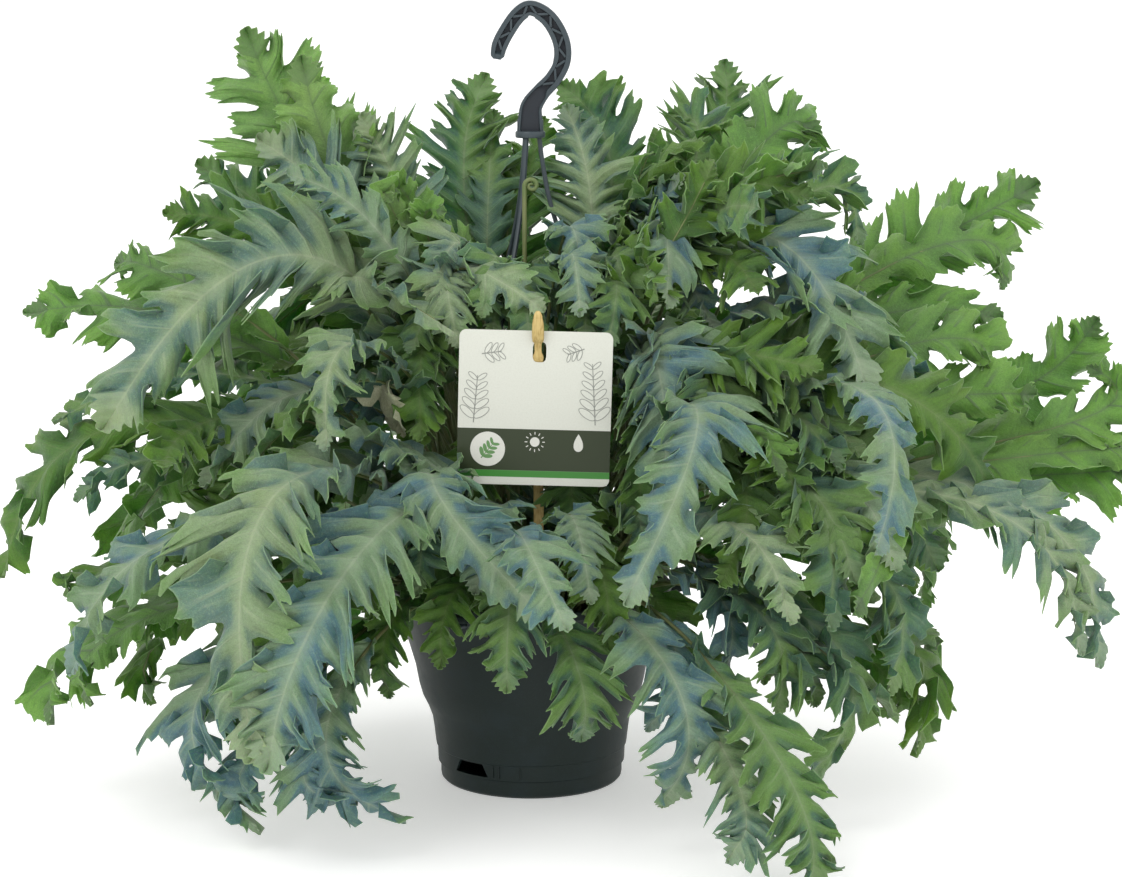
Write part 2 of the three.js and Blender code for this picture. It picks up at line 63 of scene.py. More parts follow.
# The frame's fronds: name, stem hole (azimuth, radius), lift of the stem, shoulder, tip, half width,
# lobe pairs, how far the face turns to the viewer, tone
FRONDS = [
    ("big_left", 185, 40, 150, (-130, -75, 395), (-295, -150, 290), 70, 8, 0.8, "sage"),
    ("hanging_left", 225, 48, 160, (-118, -128, 350), (-138, -172, 282), 34, 5, 0, "sage"),
    ("top_left", 160, 40, 170, (-145, 20, 435), (-205, 20, 550), 54, 7, 1, "pale"),
    ("back_left_high", 150, 60, 150, (-155, 60, 385), (-245, 75, 455), 48, 6, 0.8, "mid"),
    ("far_left_high", 175, 62, 130, (-220, 10, 335), (-375, 25, 352), 42, 7, 0.5, "light"),
    ("far_left_low", 192, 75, 110, (-235, -45, 280), (-385, -65, 165), 46, 7, 0.4, "deep"),
    ("left_middle", 212, 72, 90, (-172, -120, 225), (-312, -180, 132), 56, 7, 0, "blue"),
    ("left_inner", 208, 52, 120, (-148, -72, 308), (-226, -114, 250), 46, 6, 0.2, "blue"),
    ("front_left", 208, 60, 110, (-114, -124, 256), (-178, -276, 80), 64, 9, 0, "sage"),
    ("low_left_droop", 216, 92, 60, (-200, -145, 140), (-188, -178, 15), 52, 7, 0, "blue"),
    ("low_left_front", 234, 92, 62, (-135, -195, 105), (-88, -205, 30), 40, 6, 0, "blue"),
    ("under_front_left", 222, 90, 62, (-112, -100, 138), (-142, -118, 62), 34, 5, 0, "deep"),
    ("left_low", 198, 90, 60, (-235, -60, 160), (-345, -100, 80), 46, 7, 0.2, "light"),
    ("below_card", 260, 74, 90, (-8, -156, 222), (24, -250, 178), 38, 5, 0, "blue"),
    ("over_pot_left", 264, 92, 45, (-12, -140, 175), (-15, -175, 118), 36, 5, 0, "mid"),
    ("over_pot_right", 274, 92, 38, (21, -140, 150), (37, -168, 78), 34, 5, 0, "mid"),
    ("front_right", 303, 66, 130, (105, -132, 306), (61, -234, 178), 50, 8, 0, "blue"),
    ("right_inner", 310, 80, 90, (122, -152, 232), (175, -228, 178), 38, 6, 0, "sage"),
    ("right_middle", 326, 74, 90, (162, -112, 254), (206, -190, 158), 42, 6, 0, "mid"),
    ("right_upper", 332, 52, 120, (150, -85, 302), (212, -140, 268), 44, 6, 0, "mid"),
    ("low_front", 290, 92, 55, (78, -170, 152), (92, -198, 38), 40, 6, 0, "blue"),
    ("low_right", 320, 92, 55, (168, -118, 165), (188, -160, 35), 44, 6, 0, "mid"),
    ("low_right_front", 308, 90, 66, (154, -226, 104), (190, -276, 12), 42, 7, 0, "mid"),
    ("right_droop", 340, 86, 75, (228, -98, 195), (254, -148, 108), 42, 6, 0.2, "mid"),
    ("right_low", 334, 92, 50, (243, -64, 145), (280, -100, 52), 46, 6, 0.2, "deep"),
    ("far_right", 350, 74, 110, (240, -64, 246), (408, -100, 105), 46, 9, 0.3, "sage"),
    ("right_light_low", 346, 56, 125, (258, -10, 286), (364, -42, 300), 34, 5, 0.8, "light"),
    ("right_edge_low", 356, 84, 90, (310, 0, 228), (438, -20, 240), 44, 6, 0.8, "light"),
    ("right_edge_high", 14, 70, 110, (305, 48, 262), (425, 34, 342), 42, 6, 0.9, "light"),
    ("right_light_middle", 4, 42, 150, (228, 38, 340), (345, 26, 350), 42, 5, 0.8, "light"),
    ("right_light_high", 14, 52, 150, (245, 76, 366), (382, 92, 440), 50, 7, 0.9, "light"),
    ("upper_right", 340, 30, 190, (150, -50, 420), (240, -105, 315), 58, 8, 0.5, "blue"),
    ("top_right_light", 30, 40, 180, (152, 22, 455), (205, 32, 492), 38, 5, 1, "light"),
    ("top_right", 52, 62, 180, (126, 88, 440), (150, 106, 522), 46, 6, 1, "mid"),
    ("top_middle_right", 78, 36, 180, (60, 50, 430), (30, 66, 515), 44, 6, 1, "mid"),
    ("top_middle_left", 118, 36, 180, (-50, 60, 425), (-40, 85, 515), 48, 7, 1, "mid"),
    ("crown_front", 276, 28, 200, (25, -45, 420), (40, -92, 372), 32, 5, 0, "blue"),
    ("crown_right", 318, 34, 190, (85, -50, 425), (97, -117, 372), 36, 5, 0, "blue"),
    ("crown_left", 250, 38, 180, (-55, -70, 390), (12, -106, 368), 30, 5, 0, "sage"),
    ("back_low_right", 25, 86, 70, (225, 120, 215), (320, 180, 90), 50, 6, 0, "deep"),
    ("back_low_middle", 78, 86, 70, (70, 200, 215), (95, 310, 90), 50, 6, 0, "deep"),
    ("back_low_left", 132, 86, 70, (-110, 180, 220), (-165, 285, 95), 50, 6, 0, "sage"),
    ("back_side_left", 158, 84, 80, (-225, 95, 215), (-330, 140, 95), 50, 6, 0, "deep"),
    ("back_high_right", 50, 74, 140, (165, 150, 330), (255, 230, 250), 54, 6, 0, "sage"),
    ("back_high_middle", 92, 60, 150, (0, 150, 360), (-10, 270, 280), 54, 6, 0, "blue"),
    ("back_high_left", 134, 66, 140, (-150, 145, 330), (-235, 215, 250), 54, 6, 0, "deep"),
]


# ---------------------------------------------------------------- settings

class FernFoliageSettings(bpy.types.PropertyGroup):
    """Sizes of the blades and how they are ruffled"""
    lobe_factor: bpy.props.FloatProperty(
        name="Lobe factor", description="How many lobes a blade has, against the usual", default=1.0)
    columns: bpy.props.IntProperty(
        name="Columns", description="Mesh columns in each lobe", default=18)
    rows: bpy.props.IntProperty(
        name="Rows", description="Mesh rows from edge to edge", default=10)
    thickness: bpy.props.FloatProperty(
        name="Blade thickness", description="Thickness of a blade", default=0.0006,
        subtype="DISTANCE", unit="LENGTH")
    inner_fronds: bpy.props.IntProperty(
        name="Inner fronds", description="Fronds that fill the inside of the plant", default=100)


class FernPotSettings(bpy.types.PropertyGroup):
    """Sizes and colours of the pot and hanger"""
    sides: bpy.props.IntProperty(
        name="Sides", description="Sides of the turned pieces", default=96)
    pot_color: bpy.props.FloatVectorProperty(
        name="Pot colour", description="Colour of the pot's plastic", default=(0.008, 0.017, 0.015),
        subtype="COLOR")
    hanger_color: bpy.props.FloatVectorProperty(
        name="Hanger colour", description="Colour of the hanger's plastic",
        default=(0.033, 0.048, 0.056), subtype="COLOR")


class FernLabelSettings(bpy.types.PropertyGroup):
    """Colours of the blank plant label"""
    card_color: bpy.props.FloatVectorProperty(
        name="Card colour", description="Colour of the card", default=(0.63, 0.64, 0.57),
        subtype="COLOR")
    band_color: bpy.props.FloatVectorProperty(
        name="Band colour", description="Colour of the dark band", default=(0.028, 0.040, 0.016),
        subtype="COLOR")
    stripe_color: bpy.props.FloatVectorProperty(
        name="Stripe colour", description="Colour of the stripe", default=(0.048, 0.22, 0.035),
        subtype="COLOR")


# ---------------------------------------------------------------- shader helpers

class Paint:
    """The node tree of one material, with its Principled shader"""

    def __init__(self, name, **constants):
        self.material = bpy.data.materials.new(name)
        self.material.use_nodes = True
        self.tree = self.material.node_tree
        self.shader = self.tree.nodes["Principled BSDF"]
        for socket, value in constants.items():
            self.shader.inputs[socket.replace("_", " ")].default_value = value

    def node(self, kind, settings=None, out=0, **inputs):
        """Any node: its settings, which output to give, and its inputs by name or as i0, i1"""
        made = self.tree.nodes.new(kind)
        for key, value in (settings or {}).items():
            setattr(made, key, value)
        for key, value in inputs.items():
            name = key.replace("_", " ").strip()
            index = int(name[1:]) if name[0] == "i" and name[1:].isdigit() else name
            self.feed(made.inputs[index], value)
        return Wire(self, made.outputs[out])

    def feed(self, socket, value):
        if isinstance(value, Wire):
            self.tree.links.new(value.socket, socket)
        elif isinstance(value, (tuple, list)) and socket.type == "RGBA" and len(value) == 3:
            socket.default_value = (*value, 1)
        else:
            socket.default_value = value

    def mix(self, factor, first, second):
        return self.node("ShaderNodeMix", {"data_type": "RGBA"}, out=2, i0=factor, i6=first, i7=second)

    def ramp(self, value, low, high):
        """0 at low and 1 at high, with a soft start and end"""
        return self.node("ShaderNodeMapRange", {"interpolation_type": "SMOOTHSTEP"},
                         Value=value, From_Min=low, From_Max=high)

    def place(self):
        """The piece's own Object coordinates"""
        return self.node("ShaderNodeTexCoord", out=3)

    def noise(self, scale, detail, vector=None, roughness=0.5):
        return self.node("ShaderNodeTexNoise", Vector=vector or self.place(), Scale=scale,
                         Detail=detail, Roughness=roughness)

    def finish(self, **inputs):
        """Feeds the shader and gives the material"""
        for key, value in inputs.items():
            self.feed(self.shader.inputs[key.replace("_", " ")], value)
        return self.material

    def bump(self, height, strength, distance):
        return self.node("ShaderNodeBump", Height=height, Strength=strength, Distance=distance)


class Wire:
    """One output socket; sums on it add Math nodes"""

    def __init__(self, paint, socket):
        self.paint = paint
        self.socket = socket

    def _math(self, operation, first, second):
        return self.paint.node("ShaderNodeMath", {"operation": operation}, i0=first, i1=second)

    def __add__(self, other):
        return self._math("ADD", self, other)

    def __sub__(self, other):
        return self._math("SUBTRACT", self, other)

    def __mul__(self, other):
        return self._math("MULTIPLY", self, other)

    def __rsub__(self, other):
        return self._math("SUBTRACT", other, self)

    __radd__ = __add__
    __rmul__ = __mul__

    def split(self):
        parts = self.paint.node("ShaderNodeSeparateXYZ", Vector=self)
        outputs = parts.socket.node.outputs
        return [Wire(self.paint, outputs[i]) for i in range(3)]


# ---------------------------------------------------------------- mesh helpers

def metres(point):
    """A plan point in the frame's own metres"""
    return Vector((point[0], point[1], point[2] - SEAT_HEIGHT)) / 1000


def scatter(a, b):
    """A steady number from -1 to 1 that jumps about with its two keys"""
    value = math.sin(a * 12.9898 + b * 78.233) * 43758.5453
    return 2 * (value - math.floor(value)) - 1


def smooth(low, high, value):
    """0 at low and 1 at high, with a soft start and end"""
    x = min(max((value - low) / (high - low), 0), 1)
    return x * x * (3 - 2 * x)


def on_circle(radius, azimuth, z):
    """A plan point at a radius and an azimuth in degrees about the pot's axis"""
    angle = math.radians(azimuth)
    return Vector((radius * math.cos(angle), radius * math.sin(angle), z))


def on_ring(centre, side, face, half_side, half_face, v):
    """A point of a tube's section, at the share v of the way round"""
    angle = 2 * math.pi * v
    return centre + side * (half_side * math.cos(angle)) + face * (half_face * math.sin(angle))


def boxy(v, power):
    """How much a round section grows at v to be nearly square"""
    angle = 2 * math.pi * v
    return 1 / max(abs(math.cos(angle)), abs(math.sin(angle))) ** power


def deselect():
    bpy.ops.object.select_all(action="DESELECT")


def choose(obj):
    """Selects one object alone and makes it the active one"""
    deselect()
    obj.select_set(True)
    bpy.context.view_layer.objects.active = obj


def add(operator, name, **settings):
    """Adds a primitive by its operator, with nothing else selected, and names it"""
    deselect()
    operator(**settings)
    obj = bpy.context.active_object
    obj.name = name
    return obj


def scaled(obj, *factors):
    """Scales a fresh primitive in place, and applies that to its mesh"""
    obj.scale = factors
    bpy.ops.object.transform_apply(location=True, rotation=True, scale=True)
    return obj


def edit(obj, *steps):
    """Runs mesh operators on all of a piece"""
    choose(obj)
    bpy.ops.object.mode_set(mode="EDIT")
    bpy.ops.mesh.select_all(action="SELECT")
    for step in steps:
        step()
    bpy.ops.object.mode_set(mode="OBJECT")


def face_outwards():
    """Turns the normals of the piece in edit mode outwards"""
    bpy.ops.mesh.normals_make_consistent(inside=False)


def skin(name, columns, rows, where, tube=False):
    """A grid laid by where(u, v); a tube's two long edges are merged and its ends closed"""
    obj = add(bpy.ops.mesh.primitive_grid_add, name, x_subdivisions=columns, y_subdivisions=rows, size=2)
    for vertex in obj.data.vertices:
        u = (vertex.co.x + 1) / 2
        v = (vertex.co.y + 1) / 2
        vertex.co = metres(where(u, v))
    if tube:
        edit(obj, lambda: bpy.ops.mesh.remove_doubles(threshold=1e-6),
             lambda: bpy.ops.mesh.fill_holes(sides=0), face_outwards)
    return obj


def turned(name, profile, sides):
    """A closed profile (radius, height) turned about the pot's axis, by extruding rings"""
    radius, height = profile[0]
    obj = add(bpy.ops.mesh.primitive_circle_add, name, vertices=sides, radius=radius / 1000,
              location=metres((0, 0, height)), fill_type="NGON")
    bpy.ops.object.transform_apply(location=True)
    bpy.ops.object.mode_set(mode="EDIT")
    bpy.ops.mesh.select_all(action="SELECT")
    for next_radius, next_height in profile[1:]:
        rise = (next_height - height) / 1000
        bpy.ops.mesh.extrude_region_move(TRANSFORM_OT_translate={"value": (0, 0, rise)})
        scale = next_radius / radius
        bpy.ops.transform.resize(value=(scale, scale, 1))
        radius, height = next_radius, next_height
    bpy.ops.mesh.select_all(action="SELECT")
    face_outwards()
    bpy.ops.object.mode_set(mode="OBJECT")
    return obj


# Edges sharper than this get a bevel
BEVEL_ANGLE = 35


def block(name, size, centre, turn, bevel):
    """A bevelled block; turn is its azimuth in degrees about the pot's axis"""
    obj = add(bpy.ops.mesh.primitive_cube_add, name, size=1)
    obj.data.transform(Matrix.Diagonal((*[s / 1000 for s in size], 1)))
    if bevel:
        apply_modifier(obj, "BEVEL", width=bevel / 1000, segments=2, limit_method="ANGLE",
                       angle_limit=math.radians(BEVEL_ANGLE))
    obj.data.transform(Matrix.Rotation(math.radians(turn), 4, "Z") @ Matrix.Translation(metres(centre)))
    return obj


def apply_modifier(obj, kind, **settings):
    """Adds a modifier with its settings and applies it"""
    choose(obj)
    modifier = obj.modifiers.new(kind.title(), kind)
    for key, value in settings.items():
        setattr(modifier, key, value)
    bpy.ops.object.modifier_apply(modifier=modifier.name)


def cut_out(body, cutter):
    """Cuts one piece out of another, and removes the cutter"""
    apply_modifier(body, "BOOLEAN", operation="DIFFERENCE", object=cutter, solver="EXACT")
    bpy.data.objects.remove(cutter)


def join(objects, name):
    """Joins pieces into the first of them, under a new name"""
    deselect()
    for obj in objects:
        obj.select_set(True)
    bpy.context.view_layer.objects.active = objects[0]
    bpy.ops.object.join()
    objects[0].name = name
    return objects[0]


def dress(obj, slot, *materials, replaces=(), angle=30):
    """Gives a piece its materials, smoothing, body and the frame nodes that it stands for; the slot is not
    used
    """
    if materials:
        obj.data.materials.clear()
        for material in materials:
            obj.data.materials.append(material)
    choose(obj)
    bpy.ops.object.shade_smooth_by_angle(angle=math.radians(angle))
    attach(obj, BODY)
    if replaces:
        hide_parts(*replaces)


# ---------------------------------------------------------------- finishes

class LeafTone(NamedTuple):
    """Colours of one kind of blade"""
    main: tuple
    bloom_and_shade: tuple  # waxy blue, in patches and in the valleys between the lobes, darker there as painted shade
    tips: tuple  # of the lobes
    rib: tuple  # and of the veins
    bloom_and_shade_share: float


LEAF_TONES = {
    "sage": LeafTone((0.18, 0.256, 0.132), (0.054, 0.13, 0.136),
                     (0.114, 0.22, 0.056), (0.32, 0.38, 0.24), 0.88),
    "blue": LeafTone((0.15, 0.232, 0.13), (0.054, 0.14, 0.196),
                     (0.11, 0.206, 0.072), (0.3, 0.37, 0.25), 1.0),
    # The deep tone is a darker green, partly real and partly painted shade, for fronds inside, behind and
    # under the plant
    "deep": LeafTone((0.067, 0.15, 0.015), (0.034, 0.097, 0.05),
                     (0.095, 0.194, 0.013), (0.12, 0.18, 0.06), 0.5),
    "mid": LeafTone((0.098, 0.186, 0.048), (0.044, 0.114, 0.1),
                    (0.092, 0.182, 0.034), (0.2, 0.27, 0.14), 0.95),
    "light": LeafTone((0.112, 0.24, 0.04), (0.073, 0.16, 0.052),
                      (0.148, 0.292, 0.05), (0.075, 0.105, 0.065), 0.5),
    "pale": LeafTone((0.156, 0.28, 0.07), (0.086, 0.174, 0.064),
                     (0.146, 0.294, 0.054), (0.085, 0.14, 0.055), 0.5),
    "dry": LeafTone((0.46, 0.48, 0.31), (0.36, 0.39, 0.25), (0.42, 0.41, 0.27), (0.3, 0.3, 0.19), 0.3),
}
# Tones that share another one's slot in the frame
SHARED_SLOTS = {"mid": "deep", "pale": "light", "dry": "light"}
# Attribute of a blade: way out from the rib, ridge of a lobe, way out along the lobe, way to the tip
BLADE_MARKS = "leaf"
MARGIN_COLOR = (0.26, 0.38, 0.19)
UNDERSIDE_COLOR = (0.12, 0.23, 0.080)
# How the yellower patches change each part of the main colour
WARM_SHIFT = (1.05, 0.98, 0.55)
# Tones whose veins stand out
VEINED_TONES = ("light", "pale")


def shaded(color, share):
    return tuple(c * share for c in color)


def leaf_finish(name, tone, underside=False):
    """Waxy blade: pale ribs and margin, waxy blue and painted shade in the valleys between the lobes, greener
    tips, veins
    """
    main, bloom_and_shade, tips, rib, bloom_and_shade_share = LEAF_TONES[tone]
    paint = Paint(name, Specular_IOR_Level=0.32, Sheen_Weight=0.10, Sheen_Roughness=0.5,
                  Subsurface_Weight=0.12, Subsurface_Radius=(0.45, 1.0, 0.2), Subsurface_Scale=0.004)
    marks = {"attribute_name": BLADE_MARKS}
    outwards, ridge, finger = paint.node("ShaderNodeAttribute", marks, out=1).split()
    along = paint.node("ShaderNodeAttribute", marks, out=3)
    lines = paint.node("ShaderNodeCombineXYZ", X=along * 150.0, Y=outwards * 2.2, Z=ridge * 0.6)
    streaks = paint.noise(1.0, 3.0, vector=lines, roughness=0.6)
    # The waxy blue lies in patches and in the valleys, darker in the valleys as painted shade, and the lobes'
    # ends are greener
    patches = paint.ramp(paint.noise(13.0, 2.0), 0.38, 0.64)
    broken = paint.ramp(paint.noise(60.0, 3.0, roughness=0.6), 0.3, 0.7)
    valley = paint.ramp(ridge, 0.62, 0.05) * paint.ramp(outwards, 0.04, 0.30)
    bloom_and_shade_mask = paint.ramp(patches * 0.75 + valley * 0.60 + broken * 0.16, 0.28, 1.12) * bloom_and_shade_share
    color = paint.mix(paint.ramp(finger, 0.20, 0.95) * (broken * 0.4 + 0.6), main, tips)
    warm = paint.ramp(paint.noise(31.0, 2.0), 0.52, 0.70) * 0.30
    color = paint.mix(warm, color, tuple(c * s for c, s in zip(main, WARM_SHIFT)))
    color = paint.mix(bloom_and_shade_mask, color, bloom_and_shade)
    # Painted shade: the valleys between the lobes are darkened further
    color = paint.mix(valley * 0.30, color, shaded(main, 0.35))
    # Paler and darker cells and specks
    mottle = paint.noise(380.0, 3.0, roughness=0.68)
    color = paint.mix(paint.ramp(mottle, 0.5, 0.8) * 0.28, color, shaded(main, 1.8))
    color = paint.mix(paint.ramp(mottle, 0.5, 0.2) * 0.38, color, shaded(main, 0.45))
    speckle = paint.noise(1300.0, 1.0)
    color = paint.mix(paint.ramp(speckle, 0.5, 0.25) * 0.40, color, shaded(main, 0.5))
    color = paint.mix(paint.ramp(speckle, 0.5, 0.75) * 0.20, color, shaded(main, 1.7))
    # Side veins run out from the rib as streaks; each lobe has its own vein, and the edge is pale
    color = paint.mix(paint.ramp(streaks, 0.52, 0.76) * 0.26, color, rib)
    color = paint.mix(paint.ramp(streaks, 0.46, 0.26) * 0.36, color, shaded(main, 0.42))
    vein = paint.ramp(ridge, 0.965, 1.0) * paint.ramp(outwards, 0.9, 0.3)
    color = paint.mix(vein * (0.6 if tone in VEINED_TONES else 0.34), color, rib)
    color = paint.mix(paint.ramp(outwards, 0.20, 0.0) * 0.34, color, rib)
    color = paint.mix(paint.ramp(outwards, 0.030, 0.008) * 0.42, color, rib)
    color = paint.mix(paint.ramp(outwards, 0.95, 1.0) * 0.32, color, MARGIN_COLOR)
    if underside:
        color = paint.mix(0.5, color, UNDERSIDE_COLOR)
    wrinkles = paint.noise(190.0, 2.0)
    height = wrinkles * 0.7 + vein * 0.5 + mottle * 0.35 + streaks * 0.9
    return paint.finish(Base_Color=color, Roughness=paint.ramp(wrinkles, 0.0, 1.0) * 0.16 + 0.46,
                        Normal=paint.bump(height, 0.6, 0.0012))


def stem_finish():
    """Smooth green-brown stems"""
    paint = Paint("stem_skin", Specular_IOR_Level=0.4)
    height = paint.place().split()[2]
    streak = paint.noise(90.0, 3.0)
    color = paint.mix(paint.ramp(streak, 0.35, 0.65), (0.11, 0.16, 0.05), (0.17, 0.19, 0.075))
    color = paint.mix(paint.ramp(height, -0.38, -0.46) * 0.4, color, (0.085, 0.06, 0.030))
    return paint.finish(Base_Color=color, Roughness=streak * 0.2 + 0.4,
                        Normal=paint.bump(streak, 0.3, 0.0006))


def plastic_finish(name, color, tint, rough, specular=0.42, grain_scale=2600.0):
    """Moulded plastic with a fine satin grain and faint handling marks"""
    paint = Paint(name, Specular_IOR_Level=specular)
    grain = paint.noise(grain_scale, 2.0)
    marks = paint.noise(38.0, 5.0, roughness=0.7)
    base = paint.mix(paint.ramp(marks, 0.42, 0.7) * 0.55, color, tint)
    base = paint.mix(paint.ramp(grain, 0.5, 0.75) * 0.45, base, shaded(color, 1.9))
    return paint.finish(Base_Color=base, Roughness=paint.ramp(marks, 0.3, 0.75) * 0.14 + rough,
                        Normal=paint.bump(grain, 0.22, 0.0002))


def soil_finish():
    """Dark crumbly potting mix with paler fibres"""
    paint = Paint("potting_mix", Specular_IOR_Level=0.2)
    crumbs = paint.node("ShaderNodeTexVoronoi", Vector=paint.place(), Scale=260.0)
    fibres = paint.noise(700.0, 4.0, roughness=0.7)
    color = paint.mix(paint.ramp(crumbs, 0.1, 0.7), (0.012, 0.007, 0.004), (0.045, 0.026, 0.014))
    color = paint.mix(paint.ramp(fibres, 0.66, 0.76) * 0.7, color, (0.16, 0.10, 0.05))
    return paint.finish(Base_Color=color, Roughness=0.92,
                        Normal=paint.bump(crumbs + fibres * 0.5, 0.9, 0.002))


def rhizome_finish():
    """Creeping rootstock under golden scales"""
    paint = Paint("golden_scales", Specular_IOR_Level=0.3)
    scales = paint.node("ShaderNodeTexVoronoi", Vector=paint.place(), Scale=700.0)
    color = paint.mix(paint.ramp(scales, 0.1, 0.6), (0.22, 0.11, 0.03), (0.42, 0.25, 0.08))
    return paint.finish(Base_Color=color, Roughness=0.7, Normal=paint.bump(scales, 0.8, 0.001))


CARD_CENTRE = Vector((4, -117.8, 301))
CARD_TILT = math.radians(1.5)
CARD_WIDTH, CARD_HEIGHT, CARD_CORNER, CARD_THICKNESS = 108.0, 110.0, 5.0, 0.8
CARD_TINT = (0.54, 0.54, 0.47)
# Heights on the card, from its middle
BAND_TOP, BAND_FOOT, STRIPE_FOOT = -15.0, -44.7, -49.5
# How far the ink's edge spreads, in metres
INK_EDGE = 0.00012


def card_finish(settings):
    """Off-white card with a plain dark band and a green stripe near its foot"""
    paint = Paint("label_card_print", Specular_IOR_Level=0.25, Coat_Roughness=0.25)
    centre = metres(CARD_CENTRE)
    x, _, z = paint.place().split()
    along = (z - centre.z) * math.cos(CARD_TILT) + (x - centre.x) * math.sin(CARD_TILT)
    mark = lambda low, high: (paint.ramp(along, low / 1000 - INK_EDGE, low / 1000 + INK_EDGE)
                              * paint.ramp(along, high / 1000 + INK_EDGE, high / 1000 - INK_EDGE))
    tooth = paint.noise(900.0, 3.0)
    white = paint.mix(paint.ramp(tooth, 0.4, 0.7) * 0.3, tuple(settings.card_color), CARD_TINT)
    color = paint.mix(mark(BAND_FOOT, BAND_TOP), white, tuple(settings.band_color))
    color = paint.mix(mark(STRIPE_FOOT, BAND_FOOT), color, tuple(settings.stripe_color))
    return paint.finish(Base_Color=color, Roughness=paint.ramp(tooth, 0.2, 0.8) * 0.08 + 0.3,
                        Coat_Weight=0.12, Normal=paint.bump(tooth, 0.05, 0.0001))


def print_finish(name, color):
    """Flat printed ink"""
    paint = Paint(name, Specular_IOR_Level=0.4)
    tooth = paint.noise(900.0, 2.0)
    shade = paint.mix(paint.ramp(tooth, 0.4, 0.7) * 0.2, color, shaded(color, 0.8))
    return paint.finish(Base_Color=shade, Roughness=tooth * 0.1 + 0.32)


def wood_finish():
    """Pale sawn wood with a long grain"""
    paint = Paint("stick_wood", Specular_IOR_Level=0.25)
    stretched = paint.node("ShaderNodeMapping", Vector=paint.place(), Scale=(900.0, 900.0, 22.0))
    grain = paint.noise(1.0, 4.0, vector=stretched)
    color = paint.mix(paint.ramp(grain, 0.35, 0.7), (0.58, 0.44, 0.18), (0.42, 0.29, 0.10))
    return paint.finish(Base_Color=color, Roughness=grain * 0.2 + 0.55,
                        Normal=paint.bump(grain, 0.4, 0.0004))


# ---------------------------------------------------------------- how a frond is made

STEM_HALF_WIDTH = 1.7
# Share of a blade's rows from rib to edge that its wing takes
WING_ROWS = 0.35
# Lean of the lobes towards the tip, and how far the two edges of a lobe spread
LOBE_LEAN = math.radians(38)
LOBE_FAN = math.radians(4)
# How much neighbouring lobes differ: in width along the rib, length, lean, bend and wing
EDGE_SPREAD = 0.24
LENGTH_SPREAD = 0.34
LEAN_SPREAD = 0.24
CURVE_SPREAD = 0.30
WING_SPREAD = 0.25
# Heights of a blade's relief, as shares of its half width
ARCH_SHARE = 0.22
RUFFLE_SHARE = 0.17
RIDGE_SHARE = 0.13
DROOP_SHARE = 0.20
ROLL_SHARE = 0.075
FLUTTER_SHARE = 0.035
RIB_SINK = 0.035
# Where on a frond's line its shoulder may be
SHOULDER_RANGE = (0.35, 0.66)
# How far before the shoulder the blade starts, and the share of the rest that it covers
BLADE_LEAD = 0.2
BLADE_END = 0.94
# The end lobe: columns of its mesh, length and half width against the blade's there
TIP_COLUMNS = 14
TIP_LENGTH = 1.1
TIP_WIDTH = 0.8
# Nothing of a frond hangs lower than this
LOWEST = 0.8
# Share of a stem's rings that go down its hole
STEM_IN_HOLE = 0.04


class LobeStyle(NamedTuple):
    """How the blades of one tone are cut"""
    lobe_factor: float  # lobes for each in the table
    gap: float  # half of the gap between two lobes
    wing_share: float  # wing along the rib, against the half width
    crown_power: float  # how square the end of a lobe is
    crown_drop: float  # how far its corners fall back
    teeth: float  # on one lobe
    tooth_depth: float
    small_teeth: float
    small_depth: float
    waist: float  # how much a lobe narrows at its foot
    column_share: float  # mesh columns against the usual


LOBE_STYLES = {
    "sage": LobeStyle(1.48, 0.042, 0.35, 1.8, 0.56, 2.9, 0.42, 7.2, 0.14, 0.24, 1.0),
    "blue": LobeStyle(1.40, 0.050, 0.38, 1.5, 0.60, 2.9, 0.46, 7.2, 0.14, 0.28, 1.0),
    "deep": LobeStyle(1.35, 0.050, 0.34, 2.0, 0.50, 2.5, 0.38, 6.5, 0.12, 0.32, 1.0),
    "mid": LobeStyle(1.40, 0.045, 0.38, 2.0, 0.52, 2.6, 0.42, 6.8, 0.12, 0.30, 1.0),
    "light": LobeStyle(0.95, 0.045, 0.40, 3.0, 0.36, 2.6, 0.24, 7.4, 0.19, 0.20, 1.8),
    "pale": LobeStyle(0.95, 0.040, 0.46, 3.0, 0.34, 2.8, 0.24, 7.4, 0.19, 0.16, 1.8),
    "dry": LobeStyle(1.0, 0.040, 0.50, 2.4, 0.40, 2.4, 0.20, 6.5, 0.10, 0.20, 1.0),
}


class Detail(NamedTuple):
    """How fine the mesh of a frond is"""
    mesh: float  # columns and rows against the usual
    lobes: float  # their number against the usual
    rings: int  # of the stem
    sides: int  # of the stem


FINE = Detail(1.0, 1.0, 25, 8)
COARSE = Detail(0.52, 1.3, 16, 6)


